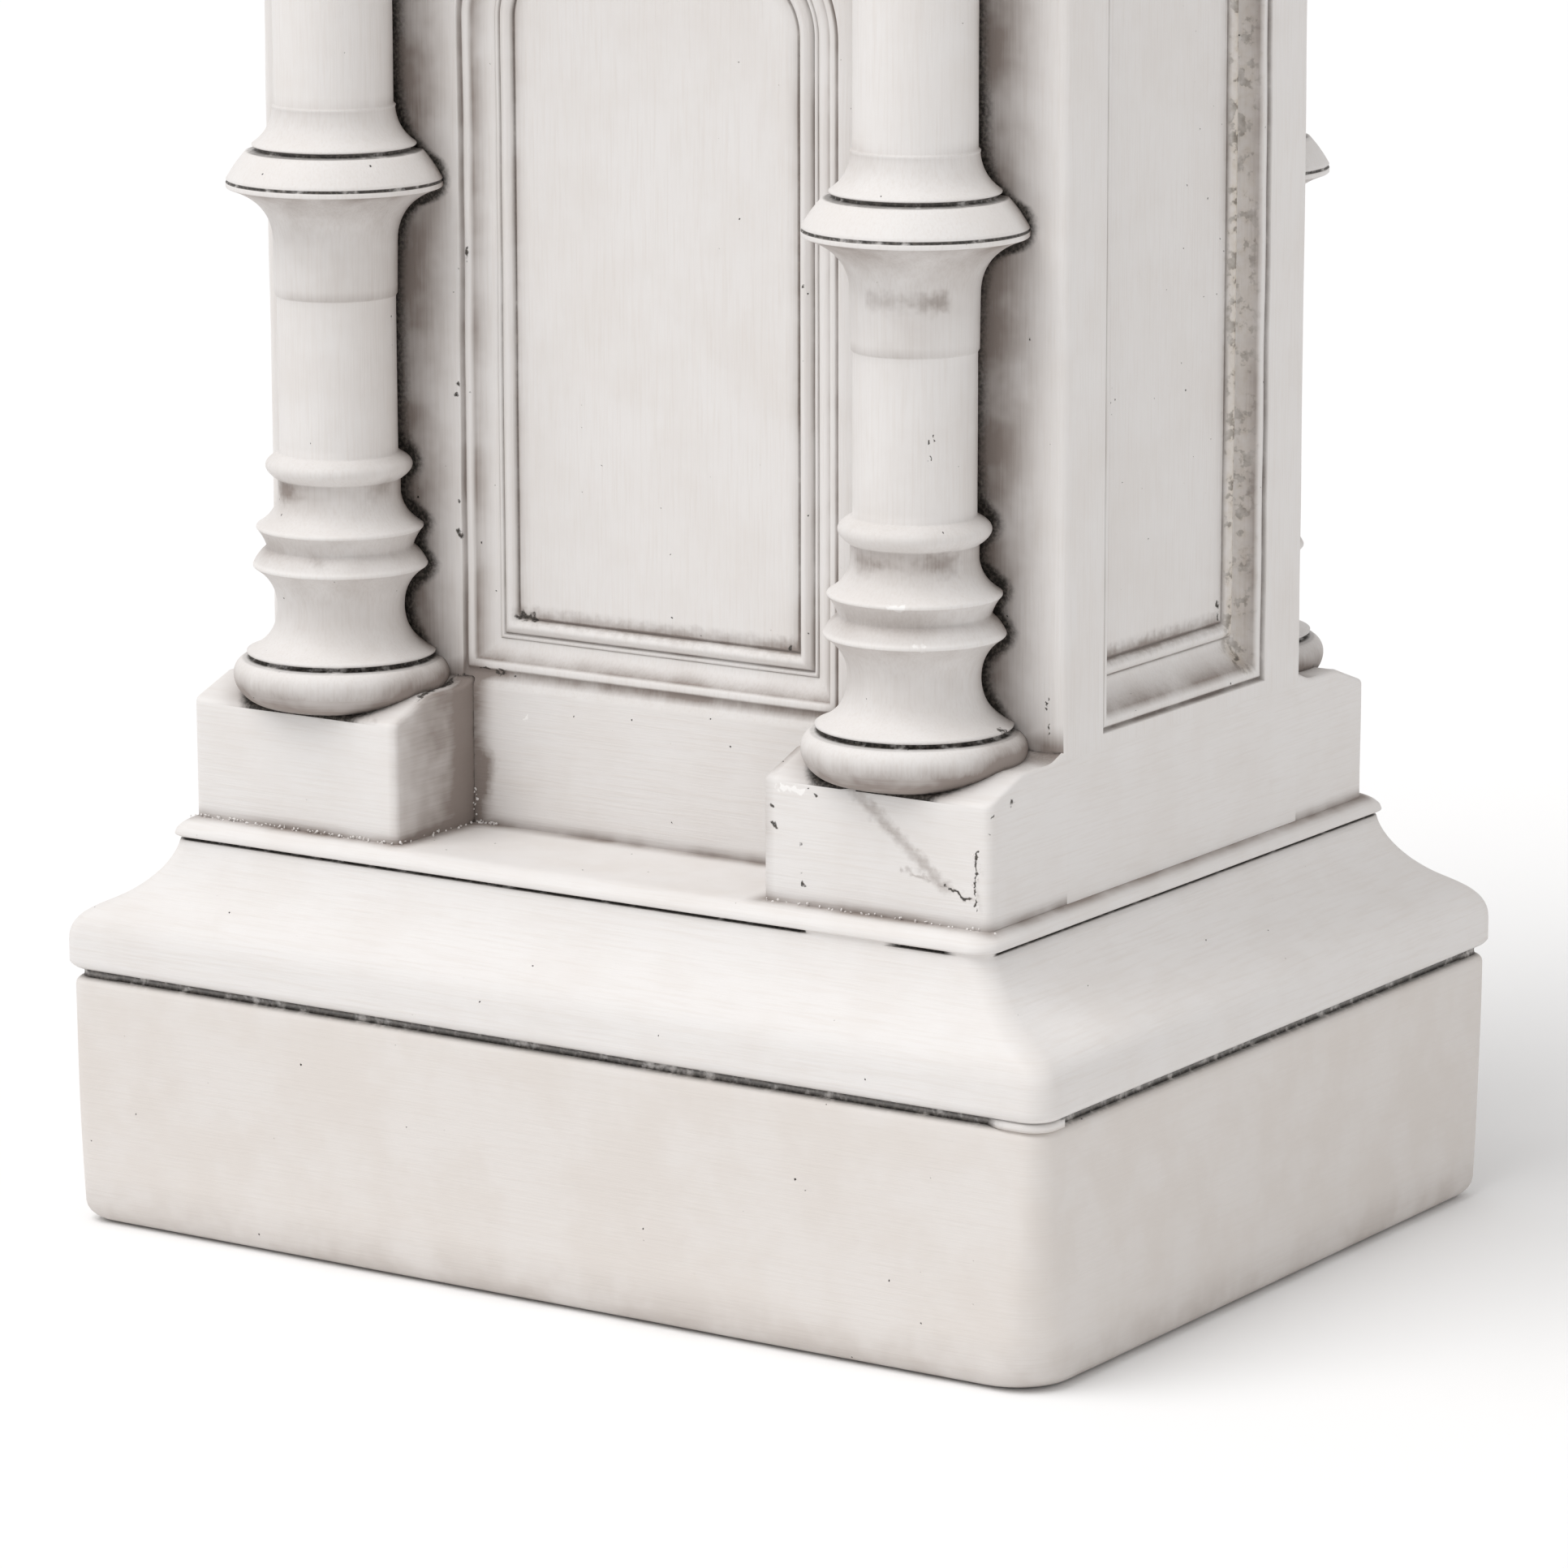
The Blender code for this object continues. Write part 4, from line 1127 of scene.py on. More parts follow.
@dataclass
class Colonnettes:
    """Four turned colonnettes, one profile carried round each corner's axis by Geometry Nodes."""

    sides: int = 92
    unevenness: float = 0.00025
    torus_foot: float = 0.1592
    torus_seat_radius: float = 0.0215
    torus_height: float = 0.0132
    torus_reach: float = 0.0356
    torus_top_radius: float = 0.0296
    groove_radius: float = 0.0265
    flare_radius: float = 0.0280
    shaft_radius: float = 0.0175
    neck_radius: float = 0.0181
    ring_radius: float = 0.0318
    head_radius: float = 0.0290
    head_foot: float = 0.4373

    def profile(self) -> np.ndarray:
        """Rows of radius, height, grime and wash, from inside the low block to inside the top one. In the
        grooves, the coves and under the rings they paint shade as well as dirt and wash.
        """
        foot = self.torus_foot
        # Foot ring, with black dirt and painted shade where it meets the block and under its lower side
        line = TurnedLine(0.0, foot - 0.004)
        line.to(self.torus_seat_radius, foot - 0.004, 2)
        line.to(self.torus_seat_radius, foot, 2, 1.0)
        first = (self.torus_top_radius, foot - 0.1 * self.torus_height)
        second = (self.torus_reach, foot + 0.7 * self.torus_height)
        top = foot + self.torus_height
        line.curve(first, second, (self.torus_top_radius, top), 20, (0.9, 0.0))
        for back, grime in ((20, 0.75), (19, 0.5), (18, 0.25)):
            radius, height, _, wash = line.points[-back]
            line.points[-back] = (radius, height, grime, wash)
        # Groove over the foot ring
        line.to(self.flare_radius + 0.0002, top + 0.0003, 2, 0.2)
        line.to(self.groove_radius + 0.0008, top + 0.0005, 1, 1.0)
        line.to(self.groove_radius, top + 0.0008, 1, 1.0)
        line.to(self.groove_radius, top + 0.0014, 2, 1.0)
        line.to(self.flare_radius - 0.0005, top + 0.0015, 2, 1.0)
        line.to(self.flare_radius - 0.0001, top + 0.0017, 1, 0.3)
        line.to(self.flare_radius, top + 0.0024, 1)
        # Bell, double ring and neck
        line.bow(0.0188, 0.1876, -0.17, 14, (0.0, 0.18))
        line.bow(0.0254, 0.1996, -0.14, 14, (0.18, 0.4))
        line.curve((0.0259, 0.2000), (0.0259, 0.2006), (0.0255, 0.2011), 4)
        line.bow(0.0216, 0.2058, 0.06, 7, (0.1, 0.5))
        line.bow(0.0243, 0.2109, -0.05, 6, (0.5, 0.3))
        line.curve((0.0248, 0.2112), (0.0248, 0.2119), (0.0243, 0.2123), 4)
        line.bow(self.neck_radius, 0.2210, -0.12, 10, (0.0, 0.3))
        line.bow(self.neck_radius, 0.2256, 0.0, 4, (0.36, 0.42))
        line.bow(self.shaft_radius, 0.2338, 0.47, 14, (0.15, 0.1))
        # Plain shaft and collar up to the ring at half height
        line.to(self.shaft_radius, 0.2795, 18, 0.0, 0.05)
        line.to(0.0180, 0.2803, 2, 0.0, 0.35)
        line.to(0.0182, 0.2955, 6, 0.0, 0.15)
        # Collar, greyer up to the ring: wash and painted shade under the ring
        line.curve((0.0182, 0.3054), (0.0252, 0.3093), (0.0314, 0.3114), 18, (0.15, 0.75))
        # Ring at half height, with a fine dark line in its groove
        ring = self.ring_radius
        line.curve((ring, 0.3116), (ring, 0.3118), (ring, 0.3121), 3, (0.1, 0.0))
        line.to(ring, 0.3131, 2)
        line.to(0.0316, 0.3132, 1, 0.9)
        line.to(0.0313, 0.3135, 1, 1.0)
        line.to(0.0316, 0.3138, 1, 0.9)
        line.to(0.0317, 0.3141, 1)
        # Slope, groove and small bell over the ring
        line.bow(0.0259, 0.3221, 0.03, 9)
        line.to(0.0240, 0.3223, 2, 0.6)
        line.to(0.0229, 0.3226, 1, 1.0)
        line.to(0.0229, 0.3231, 1, 0.9)
        line.to(0.0236, 0.3234, 1, 0.8)
        line.curve((0.0241, 0.3235), (0.0242, 0.3238), (0.0240, 0.3243), 4)
        line.bow(0.0180, 0.3345, -0.12, 11, (0.0, 0.2))
        line.to(0.0182, 0.3353, 2, 0.0, 0.1)
        line.to(self.shaft_radius, 0.3360, 2, 0.0, 0.2)
        # Upper shaft, and the head up to the top block
        line.to(self.shaft_radius, 0.4323, 32)
        line.bow(self.shaft_radius, self.head_foot, 0.6, 8)
        line.bow(self.head_radius, 0.4603, -0.16, 14, (0.1, 0.5))
        line.bow(self.head_radius, 0.4693, 0.31, 10)
        line.to(self.head_radius, 0.4723, 1)
        line.to(0.0, 0.4723, 2)
        return np.array(line.points)

    def build(self, finish: bpy.types.Material) -> Object:
        """Builds the four colonnettes as one piece.

        Args:
            finish: Material that the tree sets.

        Returns:
            The colonnettes.
        """
        profile = self.profile()
        count = len(profile)
        mesh = bpy.data.meshes.new("colonnette_profile")
        line = np.column_stack([profile[:, 0], np.zeros(count), profile[:, 1]])
        mesh.from_pydata(line.tolist(), [[i, i + 1] for i in range(count - 1)], [])
        store(mesh, grime=profile[:, 2], wash=profile[:, 3])
        settings = {
            "Sides": self.sides,
            "Half Spread X": STAND.shaft_half_spread,
            "Half Spread Y": STAND.shaft_y,
            "Unevenness": self.unevenness,
            "Finish": finish,
        }
        obj = grow("colonnettes", mesh, self.tree(), settings)
        points = np.zeros(len(obj.data.vertices) * 3)
        obj.data.vertices.foreach_get("co", points)
        points = points.reshape(-1, 3)
        wall = (np.abs(points[:, 1]) - STAND.body_half_y) * 1.3 + 0.001
        seat = np.abs(points[:, 2] - STAND.block_top(points[:, 1])) * 1.5 + 0.001
        store(obj.data, gap=np.minimum(wall, seat))
        return obj

    @staticmethod
    def tree() -> bpy.types.NodeTree:
        """Builds the tree that carries the profile round an axis at each corner of the stand."""
        kinds = {"Sides": "Int", "Half Spread X": "Float", "Half Spread Y": "Float", "Unevenness": "Float"}
        net, inputs = Net.growing("turning", kinds)
        profile = inputs["Geometry"]
        rows = net.node("GeometryNodeAttributeDomainSize", {"Geometry": profile}).outputs["Point Count"]
        columns = net.total(inputs["Sides"], 1.0)
        sheet = {"Size X": 1.0, "Size Y": 1.0, "Vertices X": columns, "Vertices Y": rows}
        geometry = net.node("GeometryNodeMeshGrid", sheet).outputs["Mesh"]
        here = net.split(net.node("GeometryNodeInputPosition").outputs[0])
        angle = net.product(net.total(here["X"], 0.5), math.tau)
        row = net.math("ROUND", net.product(net.total(here["Y"], 0.5), net.less(rows, 1.0)))
        place = net.sample(profile, net.node("GeometryNodeInputPosition").outputs[0], row, "FLOAT_VECTOR")
        point = net.split(place)
        x = net.product(point["X"], net.math("COSINE", angle))
        y = net.product(point["X"], net.math("SINE", angle))
        turned = net.node("ShaderNodeCombineXYZ", {"X": x, "Y": y, "Z": point["Z"]}).outputs[0]
        for label in ("grime", "wash"):
            carried = net.node("GeometryNodeInputNamedAttribute", {"Name": label}, data_type="FLOAT")
            value = net.sample(profile, carried.outputs["Attribute"], row, "FLOAT")
            kept = {"Geometry": geometry, "Name": label, "Value": value}
            geometry = net.grown("StoreNamedAttribute", kept, data_type="FLOAT", domain="POINT")
        geometry = net.grown("SetPosition", {"Geometry": geometry, "Position": turned})
        geometry = net.grown("MergeByDistance", {"Geometry": geometry, "Distance": 0.000002})
        size_x, size_y = net.product(inputs["Half Spread X"], 2.0), net.product(inputs["Half Spread Y"], 2.0)
        axes = {"Size X": size_x, "Size Y": size_y, "Vertices X": 2, "Vertices Y": 2}
        corners = net.node("GeometryNodeMeshGrid", axes).outputs["Mesh"]
        copies = net.node("GeometryNodeInstanceOnPoints", {"Points": corners, "Instance": geometry})
        real = net.grown("RealizeInstances", {"Geometry": copies.outputs["Instances"]})
        noise = net.node("ShaderNodeTexNoise", {"Scale": 22.0, "Detail": 1.0}).outputs["Fac"]
        push = net.product(noise, -1.0, inputs["Unevenness"])
        offset = net.vector("SCALE", net.node("GeometryNodeInputNormal").outputs["Normal"], push)
        real = net.grown("SetPosition", {"Geometry": real, "Offset": offset})
        return net.end(real, inputs["Finish"])


class Net:
    """Short way to add and link nodes in a tree."""

    def __init__(self, tree: bpy.types.NodeTree) -> None:
        """Takes the tree to fill."""
        self.tree = tree

    @classmethod
    def growing(cls, name: str, kinds: dict[str, str]) -> tuple["Net", Sockets]:
        """Starts a Geometry Nodes tree.

        Args:
            name: Name of the tree.
            kinds: Kinds of its inputs by name, beside the geometry and the material.

        Returns:
            The short way to fill it, and the sockets of its inputs.
        """
        tree = bpy.data.node_groups.new(name, "GeometryNodeTree")
        for label, kind in {"Geometry": "Geometry", **kinds, "Finish": "Material"}.items():
            tree.interface.new_socket(label, in_out="INPUT", socket_type=f"NodeSocket{kind}")
        tree.interface.new_socket("Geometry", in_out="OUTPUT", socket_type="NodeSocketGeometry")
        net = cls(tree)
        return net, net.node("NodeGroupInput").outputs

    def grown(self, kind: str, inputs: dict, **settings: object) -> Socket:
        """Geometry that a Geometry Nodes node gives out."""
        return self.node(f"GeometryNode{kind}", inputs, **settings).outputs["Geometry"]

    def end(self, geometry: Socket, finish: Socket) -> bpy.types.NodeTree:
        """Sets the material, sends the geometry out and returns the tree."""
        dressed = self.grown("SetMaterial", {"Geometry": geometry, "Material": finish})
        self.node("NodeGroupOutput", {"Geometry": dressed})
        return self.tree

    def node(self, kind: str, inputs: dict | None = None, **settings: object) -> bpy.types.Node:
        """Adds a node.

        Args:
            kind: The node's type.
            inputs: Sockets or values for its inputs, by input name.
            settings: Its own settings.

        Returns:
            The node.
        """
        made = self.tree.nodes.new(kind)
        for name, value in settings.items():
            setattr(made, name, value)
        for name, value in (inputs or {}).items():
            self.feed(self.input(made, name), value)
        return made

    @staticmethod
    def input(node: bpy.types.Node, name: str | int) -> Socket:
        """Input of a node by its name, taking one that is in use where several share it."""
        if isinstance(name, int):
            return node.inputs[name]
        return next(socket for socket in node.inputs if socket.name == name and socket.enabled)

    def feed(self, socket: Socket, value: object) -> None:
        """Links a socket into an input, or sets its value."""
        if isinstance(value, Socket):
            self.tree.links.new(value, socket)
        else:
            socket.default_value = value

    def math(self, operation: str, first: object, second: object = None, clamp: bool = False) -> Socket:
        """Result of a Math node."""
        made = self.tree.nodes.new("ShaderNodeMath")
        made.operation = operation
        made.use_clamp = clamp
        self.feed(made.inputs[0], first)
        if second is not None:
            self.feed(made.inputs[1], second)
        return made.outputs[0]

    def total(self, *terms: object) -> Socket:
        """Sum of two or more numbers."""
        return reduce(lambda so_far, term: self.math("ADD", so_far, term), terms)

    def product(self, *factors: object) -> Socket:
        """Product of two or more numbers."""
        return reduce(lambda so_far, factor: self.math("MULTIPLY", so_far, factor), factors)

    def less(self, first: object, second: object) -> Socket:
        """First number less the second."""
        return self.math("SUBTRACT", first, second)

    def vector(self, operation: str, first: object, second: object, third: object = None) -> Socket:
        """Result of a Vector Math node, with a number as the second input where it scales."""
        inputs = {0: first, "Scale" if operation == "SCALE" else 1: second}
        if third is not None:
            inputs[2] = third
        outputs = self.node("ShaderNodeVectorMath", inputs, operation=operation).outputs
        return outputs["Value" if operation in ("DOT_PRODUCT", "DISTANCE") else "Vector"]

    def split(self, vector: Socket) -> Sockets:
        """Sockets X, Y and Z of a vector."""
        return self.node("ShaderNodeSeparateXYZ", {"Vector": vector}).outputs

    def random(self, low: tuple, high: tuple, seed: int) -> Socket:
        """Vector drawn for each point between two corners."""
        inputs = {"Min": low, "Max": high, "Seed": seed}
        return self.node("FunctionNodeRandomValue", inputs, data_type="FLOAT_VECTOR").outputs["Value"]

    def sample(self, geometry: Socket, value: Socket, index: Socket, kind: str) -> Socket:
        """Value of a geometry's point, by its index."""
        inputs = {"Geometry": geometry, "Value": value, "Index": index}
        return self.node("GeometryNodeSampleIndex", inputs, data_type=kind, domain="POINT").outputs["Value"]

    def noise(self, place: Socket, scale: float, detail: float, rough: float) -> Socket:
        """Noise from about 0.25 to 0.75."""
        inputs = {"Vector": place, "Scale": scale, "Detail": detail, "Roughness": rough}
        return self.node("ShaderNodeTexNoise", inputs).outputs["Fac"]

    def ease(self, value: Socket, low: float, high: float, start: float = 0.0, end: float = 1.0) -> Socket:
        """Value eased from start, at low, to end, at high."""
        inputs = {"Value": value, "From Min": low, "From Max": high, "To Min": start, "To Max": end}
        return self.node("ShaderNodeMapRange", inputs, interpolation_type="SMOOTHSTEP").outputs["Result"]

    def blend(self, share: object, first: object, second: object) -> Socket:
        """Colour between two colours."""
        made = self.node("ShaderNodeMix", data_type="RGBA")
        self.feed(made.inputs[0], share)
        self.feed(made.inputs[6], first)
        self.feed(made.inputs[7], second)
        return made.outputs[2]

    def between(self, share: object, first: object, second: object) -> Socket:
        """Number between two numbers."""
        return self.total(first, self.product(share, self.less(second, first)))

    def along(self, place: Socket, start: Vector, end: Vector, half: float) -> Socket:
        """Distance from a straight line with ends, in half widths."""
        line = end - start
        away = self.vector("SUBTRACT", place, start)
        share = self.vector("DOT_PRODUCT", away, line / max(line.length_squared, 1e-12))
        share = self.math("MULTIPLY", share, 1.0, clamp=True)
        return self.math("DIVIDE", self.vector("DISTANCE", away, self.vector("SCALE", line, share)), half)

    def value(self, name: str) -> Socket:
        """Value that the mesh carries."""
        return self.node("ShaderNodeAttribute", attribute_name=name, attribute_type="GEOMETRY").outputs["Fac"]


def linear(red: int, green: int, blue: int) -> tuple:
    """Shader colour for a colour that a screen shows, with its parts over 10 of 255."""
    return tuple(((part / 255 + 0.055) / 1.055) ** 2.4 for part in (red, green, blue)) + (1.0,)


@dataclass(frozen=True)
class AntiquedPaint:
    """Matt off-white paint on a rough casting, with a grey-brown wash and black dirt in its hollows, which
    also paint the shade in hollows, under overhangs and beside the colonnettes.
    """

    paint: tuple = linear(228, 225, 223)
    dull_paint: tuple = linear(216, 209, 203)
    chalk: tuple = linear(244, 242, 240)
    plaster: tuple = linear(196, 184, 168)
    wash: tuple = linear(136, 124, 117)
    grime: tuple = linear(38, 34, 30)
    # Lighter grey speckled into the black, a painted sheen
    grime_sheen: tuple = linear(92, 86, 80)
    roughness: float = 0.62
    marks: tuple[Mark, ...] = ()
    streak_pitch: float = 0.0007
    streak_length: float = 0.020
    upright_strokes: tuple = (0.165, 0.507)
    blot_scale: float = 42.0
    grit_scale: float = 240.0
    speck_scale: float = 900.0
    # Distance from a column's axis at which brown starts to fade, and gap that counts as touching
    plain_shaft: float = 0.0205
    touching: float = 0.0016
    # Reach of the turned columns by height, both in millimetres
    turned_reach: tuple = (
        (0, 26.5), (160, 26.5), (167, 26), (178, 22), (188, 19), (200, 25), (206, 22), (212, 24),
        (221, 18.2), (230, 21), (238, 17.6), (290, 17.6), (304, 20), (313, 30), (322, 24), (336, 18),
        (345, 17.6), (433, 17.6), (445, 19), (462, 28), (470, 30), (610, 30),
    )

    def material(self, name: str) -> bpy.types.Material:
        """Builds the material.

        Args:
            name: Name of the material.

        Returns:
            The material.
        """
        material = bpy.data.materials.new(name)
        material.use_nodes = True
        net = Net(material.node_tree)
        place = net.node("ShaderNodeTexCoord").outputs["Object"]
        at = net.split(place)
        streak = net.noise(self.brushed(net, place, at), 1.0, 3.0, 0.55)
        blot = net.noise(place, self.blot_scale, 3.0, 0.6)
        speck = net.noise(place, self.speck_scale, 2.0, 0.6)
        grit = net.noise(place, self.grit_scale, 3.0, 0.6)
        marks = self.masks(net, place)
        # Black at the contact and brown fading from it, along joints and beside the colonnettes: dirt and
        # painted contact shade
        black, brown = self.beside_joints(net, at, blot, speck)
        wash = net.total(net.product(brown, 0.95), net.value("wash"), net.product(marks[Stuff.STAIN], 0.5))
        # Darker towards the bottom
        wash = net.total(wash, net.ease(at["Z"], 0.001, 0.018, 0.30, 0.0))
        wash = net.product(wash, net.ease(blot, 0.30, 0.70, 0.60, 1.3))
        wash = net.math("MULTIPLY", wash, net.ease(streak, 0.30, 0.70, 0.93, 1.05), clamp=True)
        in_hollows = net.product(net.value("grime"), net.ease(grit, 0.28, 0.5, 0.35, 1.0))
        sooty = net.product(marks[Stuff.SOOT], net.ease(speck, 0.30, 0.48, 0.55, 1.0))
        scraped = net.product(marks[Stuff.ROUGH], net.ease(grit, 0.52, 0.60, 0.0, 0.75))
        # Black of dirt and painted shade in grooves and joints, of soot marks and of scrapes
        dirt_and_shade = net.math("MAXIMUM", net.math("MAXIMUM", in_hollows, black), net.math("MAXIMUM", sooty, scraped))
        on_plinth = net.ease(at["Z"], 0.0755, 0.0765, 0.8, 0.0)
        on_plinth = net.product(on_plinth, net.ease(blot, 0.35, 0.65, 0.65, 1.0))
        pits = self.pinholes(net, place)
        layers = (
            (on_plinth, self.dull_paint),
            (net.ease(blot, 0.35, 0.75, 0.0, 0.3), self.dull_paint),
            (net.ease(streak, 0.42, 0.75, 0.0, 0.34), self.dull_paint),
            (net.product(marks[Stuff.CHALK], 0.9), self.chalk),
            (net.product(marks[Stuff.ROUGH], net.ease(grit, 0.35, 0.6, 0.55, 0.95)), self.plaster),
            (net.product(wash, 0.92), self.wash),
            (dirt_and_shade, net.blend(net.ease(speck, 0.40, 0.68), self.grime, self.grime_sheen)),
            (pits, self.grime),
        )
        colour = self.paint
        for share, coat in layers:
            colour = net.blend(share, colour, coat)
        relief = net.total(net.product(streak, 0.10), net.product(blot, 0.35))
        height = {"Strength": 1.0, "Distance": MM, "Height": net.less(relief, net.product(pits, 0.6))}
        bump = net.node("ShaderNodeBump", height).outputs["Normal"]
        settings = {"Base Color": colour, "Roughness": self.roughness, "Metallic": 0.0, "Normal": bump}
        for socket, value in settings.items():
            net.feed(material.node_tree.nodes["Principled BSDF"].inputs[socket], value)
        return material

    def brushed(self, net: Net, place: Socket, at: Sockets) -> Socket:
        """Coordinates drawn out along the brush strokes, upright on the body and level elsewhere.

        Args:
            net: The material's nodes.
            place: Coordinates of the point.
            at: The same, as X, Y and Z.

        Returns:
            The coordinates, for a noise of scale 1.
        """
        low, high = self.upright_strokes
        upright = net.product(net.math("GREATER_THAN", at["Z"], low), net.math("LESS_THAN", at["Z"], high))
        pitch, length = 1 / self.streak_pitch, 1 / self.streak_length
        level = net.between(upright, length, pitch)
        rise = net.between(upright, pitch, length)
        stroke = net.node("ShaderNodeCombineXYZ", {"X": level, "Y": level, "Z": rise}).outputs["Vector"]
        return net.vector("MULTIPLY", place, stroke)

    def beside_joints(self, net: Net, at: Sockets, blot: Socket, speck: Socket) -> tuple[Socket, Socket]:
        """Dirt and painted contact shade along the joints and beside the turned columns.

        Args:
            net: The material's nodes.
            at: Coordinates of the point.
            blot: Broad noise, which makes the edges uneven.
            speck: Fine noise, which breaks up the black.

        Returns:
            Shares of black and of brown.
        """
        near_shaft, near_line = self.beside_turned(net, at)
        uneven = net.product(net.less(blot, 0.5), 0.0030)
        ragged = net.total(net.math("MINIMUM", net.value("gap"), near_shaft), uneven)
        fine = net.total(net.math("MINIMUM", net.value("gap"), near_line), uneven)
        fine = net.total(fine, net.product(net.less(speck, 0.5), 0.0014))
        brown = net.math("POWER", net.ease(ragged, 0.0, 0.0210, 1.0, 0.0), 1.25)
        return net.ease(fine, -0.0004, 0.0031, 1.0, 0.0), brown

    def beside_turned(self, net: Net, at: Sockets) -> tuple:
        """Distances from the turned columns, on the pieces that they stand before or on.

        Args:
            net: The material's nodes.
            at: Coordinates of the point.

        Returns:
            Distance from a plain shaft, and from the turned line less what counts as touching.
        """
        away_x = net.less(net.math("ABSOLUTE", at["X"]), STAND.shaft_half_spread)
        away_y = net.less(net.math("ABSOLUTE", at["Y"]), STAND.shaft_y)
        away = net.math("POWER", net.total(net.product(away_x, away_x), net.product(away_y, away_y)), 0.5)
        curve = net.node("ShaderNodeFloatCurve")
        points = curve.mapping.curves[0].points
        top, widest = self.turned_reach[-1][0], 40
        spots = [(height / top, reach / widest) for height, reach in self.turned_reach]
        points[0].location, points[1].location = spots[0], spots[-1]
        for spot in spots[1:-1]:
            points.new(*spot)
        curve.mapping.update()
        net.feed(curve.inputs["Value"], net.math("DIVIDE", at["Z"], top * MM))
        reach = net.product(curve.outputs["Value"], widest * MM)
        elsewhere = net.less(1.0, net.value("behind"))
        from_line = net.less(net.less(away, reach), self.touching)
        return net.total(net.less(away, self.plain_shaft), elsewhere), net.total(from_line, elsewhere)

    def masks(self, net: Net, place: Socket) -> dict[Stuff, Socket | float]:
        """Masks of the marks, one for each stuff.

        Args:
            net: The material's nodes.
            place: Coordinates of the point.

        Returns:
            The masks, zero for a stuff that the piece doesn't carry.
        """
        masks = dict.fromkeys(Stuff, 0.0)
        if not self.marks:
            return masks
        wobble = net.node("ShaderNodeTexNoise", {"Vector": place, "Scale": 420.0}).outputs["Color"]
        push = net.vector("SCALE", net.vector("SUBTRACT", wobble, (0.5, 0.5, 0.5)), 0.0042)
        moved = net.vector("ADD", place, push)
        for stuff in Stuff:
            here, nearest = moved, None
            for mark in self.marks:
                if mark.stuff is stuff:
                    start, end = Vector(mark.start) * MM, Vector(mark.end) * MM
                    ratio = net.along(here, start, end, mark.half_width * MM)
                    nearest = ratio if nearest is None else net.math("MINIMUM", nearest, ratio)
                    # Each mark waits for the one before it, so that few values are kept at a time
                    here = net.vector("MULTIPLY_ADD", nearest, (1e-12, 1e-12, 1e-12), moved)
            if nearest is not None:
                soft = 0.35 if stuff in (Stuff.SOOT, Stuff.CHALK) else 1.1
                masks[stuff] = net.ease(nearest, max(0.0, 1 - soft), 1 + soft, 1.0, 0.0)
        return masks

    @staticmethod
    def pinholes(net: Net, place: Socket) -> Socket:
        """Mask of the casting's pinholes.

        Args:
            net: The material's nodes.
            place: Coordinates of the point.

        Returns:
            The mask.
        """
        cells_in_a_metre, share_without, largest = 290.0, 0.87, 0.10
        noise = {"Vector": place, "Scale": 1500.0, "Detail": 1.0}
        wobble = net.node("ShaderNodeTexNoise", noise).outputs["Color"]
        moved = net.vector("ADD", place, net.vector("SCALE", wobble, 0.0008))
        cells = net.node("ShaderNodeTexVoronoi", {"Vector": moved, "Scale": cells_in_a_metre}).outputs
        chance = net.node("ShaderNodeSeparateColor", {"Color": cells["Color"]}).outputs["Red"]
        inside = net.less(net.ease(chance, share_without, 1.0, 0.0, largest), cells["Distance"])
        return net.ease(inside, 0.0, 0.03)


@dataclass
class Crumbs:
    """Crumbs of plaster left along the joints between blocks and ledge, strewn by Geometry Nodes."""

    joints: tuple = (
        ((-139.0, -106.6, 124.0), (-66.0, -106.6, 124.0), 70),
        ((-63.6, -106.0, 124.2), (-63.6, -69.0, 124.2), 24),
        ((-63.4, -68.4, 124.0), (-56.0, -68.4, 124.0), 22),
        ((-63.4, -68.6, 124.0), (-63.4, -68.6, 134.0), 18),
        ((64.0, -106.6, 124.0), (139.0, -106.6, 124.0), 34),
        ((135.0, -106.7, 131.0), (135.0, -106.7, 146.0), 14),
    )
    size: float = 0.00042
    spread: float = 0.0011

    def build(self, finish: bpy.types.Material) -> Object:
        """Builds the crumbs as one piece.

        Args:
            finish: Material that the tree sets.

        Returns:
            The crumbs.
        """
        points = []
        for start, end, count in self.joints:
            share = np.linspace(0, 1, count)[:, None]
            points.append((np.array(start) * (1 - share) + np.array(end) * share) * MM)
        mesh = bpy.data.meshes.new("crumb_places")
        mesh.from_pydata(np.concatenate(points).tolist(), [], [])
        settings = {"Size": self.size, "Spread": self.spread, "Finish": finish}
        obj = grow("plaster_crumbs", mesh, self.tree(), settings)
        store(obj.data, gap=np.full(len(obj.data.vertices), FAR_OFF))
        return obj

    @staticmethod
    def tree() -> bpy.types.NodeTree:
        """Builds the tree that puts a small uneven lump beside each place."""
        net, inputs = Net.growing("strewing", {"Size": "Float", "Spread": "Float"})
        stray = net.random((-1.6, -0.35, -0.4), (1.6, 0.5, 0.5), 4)
        offset = net.vector("SCALE", stray, inputs["Spread"])
        places = net.grown("SetPosition", {"Geometry": inputs["Geometry"], "Offset": offset})
        crumb = net.node("GeometryNodeMeshIcoSphere", {"Radius": 1.0, "Subdivisions": 2}).outputs["Mesh"]
        turn = net.random((0.0, 0.0, 0.0), (math.tau, math.tau, math.tau), 5)
        scale = net.vector("SCALE", net.random((0.3, 0.3, 0.3), (1.5, 1.1, 0.9), 6), inputs["Size"])
        lumps = {"Points": places, "Instance": crumb, "Rotation": turn, "Scale": scale}
        copies = net.node("GeometryNodeInstanceOnPoints", lumps).outputs["Instances"]
        return net.end(net.grown("RealizeInstances", {"Geometry": copies}), inputs["Finish"])


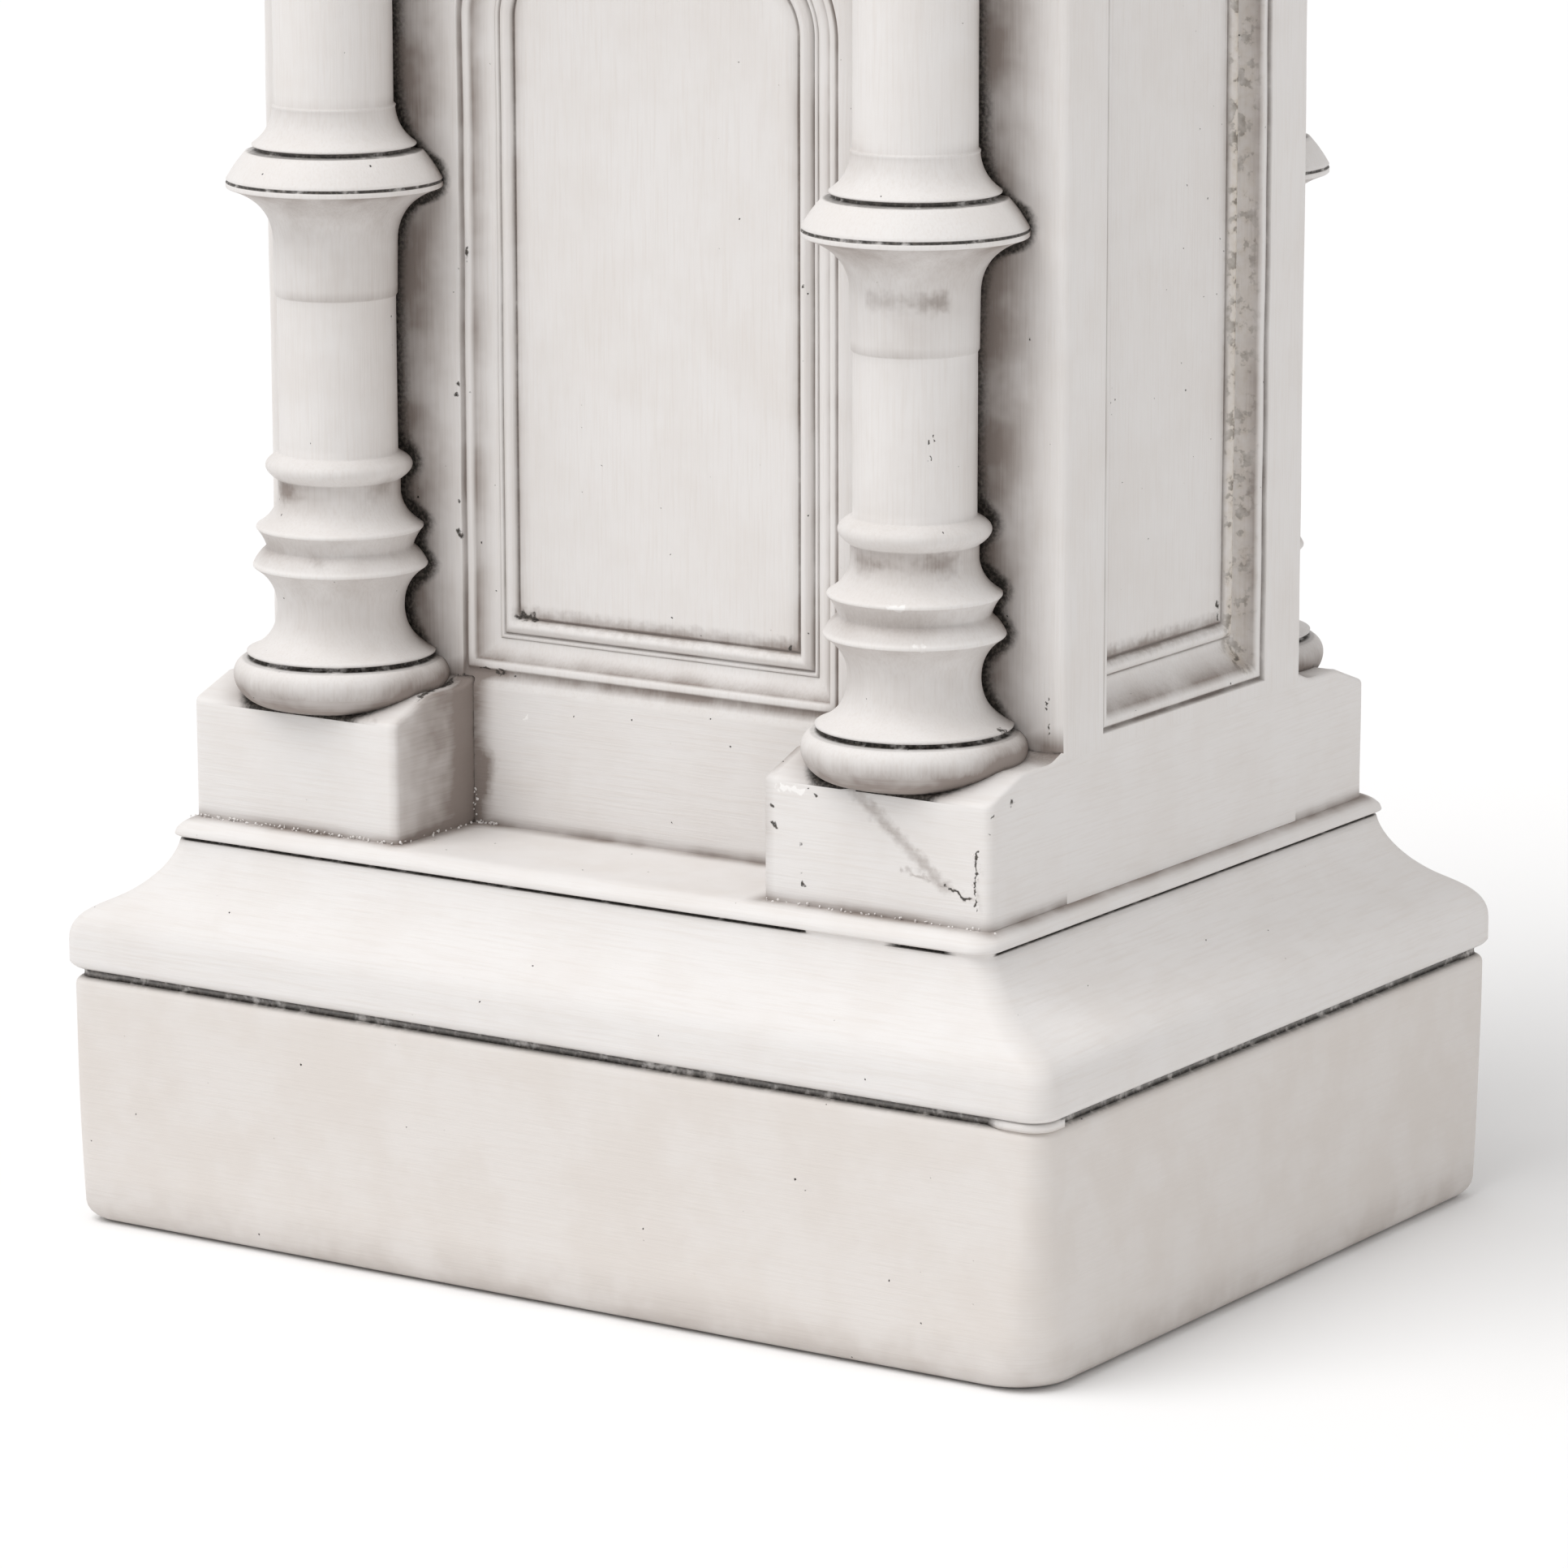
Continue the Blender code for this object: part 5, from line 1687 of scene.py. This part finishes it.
@dataclass
class Studio:
    """Pale floor, soft lights and a camera at the photo's angle."""

    eye: tuple = (1.13627, -1.71553, 0.57222)
    right: tuple = (0.83406, 0.55168, -0.00194)
    up: tuple = (-0.11425, 0.17617, 0.97771)
    back: tuple = (0.53972, -0.81524, 0.20996)
    lens: float = 162.19
    floor_half: float = 16.0
    room_light: float = 0.66
    key_light: float = 1.65
    key_breadth: float = math.radians(45)
    key_from: tuple = (-0.22, -0.45, 0.86)

    def build(self) -> None:
        """Builds floor, lights, world and camera."""
        self.floor()
        self.sun()
        world = bpy.data.worlds.new("soft_room")
        bpy.context.scene.world = world
        world.use_nodes = True
        room = world.node_tree.nodes["Background"].inputs
        room["Color"].default_value = (1.0, 0.99, 0.985, 1.0)
        room["Strength"].default_value = self.room_light
        data = bpy.data.cameras.new("camera")
        data.lens = self.lens
        data.sensor_width = 36
        camera = link("camera", data)
        turn = Matrix((self.right, self.up, self.back)).transposed().to_4x4()
        camera.matrix_world = Matrix.Translation(Vector(self.eye)) @ turn
        bpy.context.scene.camera = camera
        bpy.context.scene.view_settings.view_transform = "Standard"

    def floor(self) -> None:
        """Builds the plain pale floor."""
        half = self.floor_half
        mesh = bpy.data.meshes.new("floor")
        corners = [(sign_x * half, sign_y * half, -0.0002) for sign_x, sign_y in QUARTERS]
        mesh.from_pydata(corners, [], [(0, 1, 2, 3)])
        material = bpy.data.materials.new("pale_floor")
        material.use_nodes = True
        shader = material.node_tree.nodes["Principled BSDF"]
        shader.inputs["Base Color"].default_value = (0.93, 0.93, 0.93, 1)
        shader.inputs["Roughness"].default_value = 0.9
        mesh.materials.append(material)
        floor = link("floor", mesh)

    def sun(self) -> None:
        """Hangs a broad soft light high before the stand, a little to the left."""
        data = bpy.data.lights.new("key", "SUN")
        data.energy = self.key_light
        data.angle = self.key_breadth
        lamp = link("key", data)
        lamp.rotation_euler = (-Vector(self.key_from)).to_track_quat("-Z", "Y").to_euler()


def main() -> None:
    """Builds and dresses the stand, and sets it in the studio."""
    logging.basicConfig(level=logging.INFO, format="%(message)s")
    paints = {name: AntiquedPaint(marks=marks).material(f"{SLOT}_on_{name}") for name, marks in MARKS.items()}
    plain = AntiquedPaint().material(f"{SLOT}_unmarked")
    for piece in [Foot().build(), Cornice().build(), Body().build()] + Blocks().build():
        piece.data.materials.append(paints.get(piece.name, plain))
        settle(piece)
    settle(Colonnettes().build(paints["colonnettes"]))
    settle(Crumbs().build(plain))
    Studio().build()


if __name__ == "__main__":
    main()
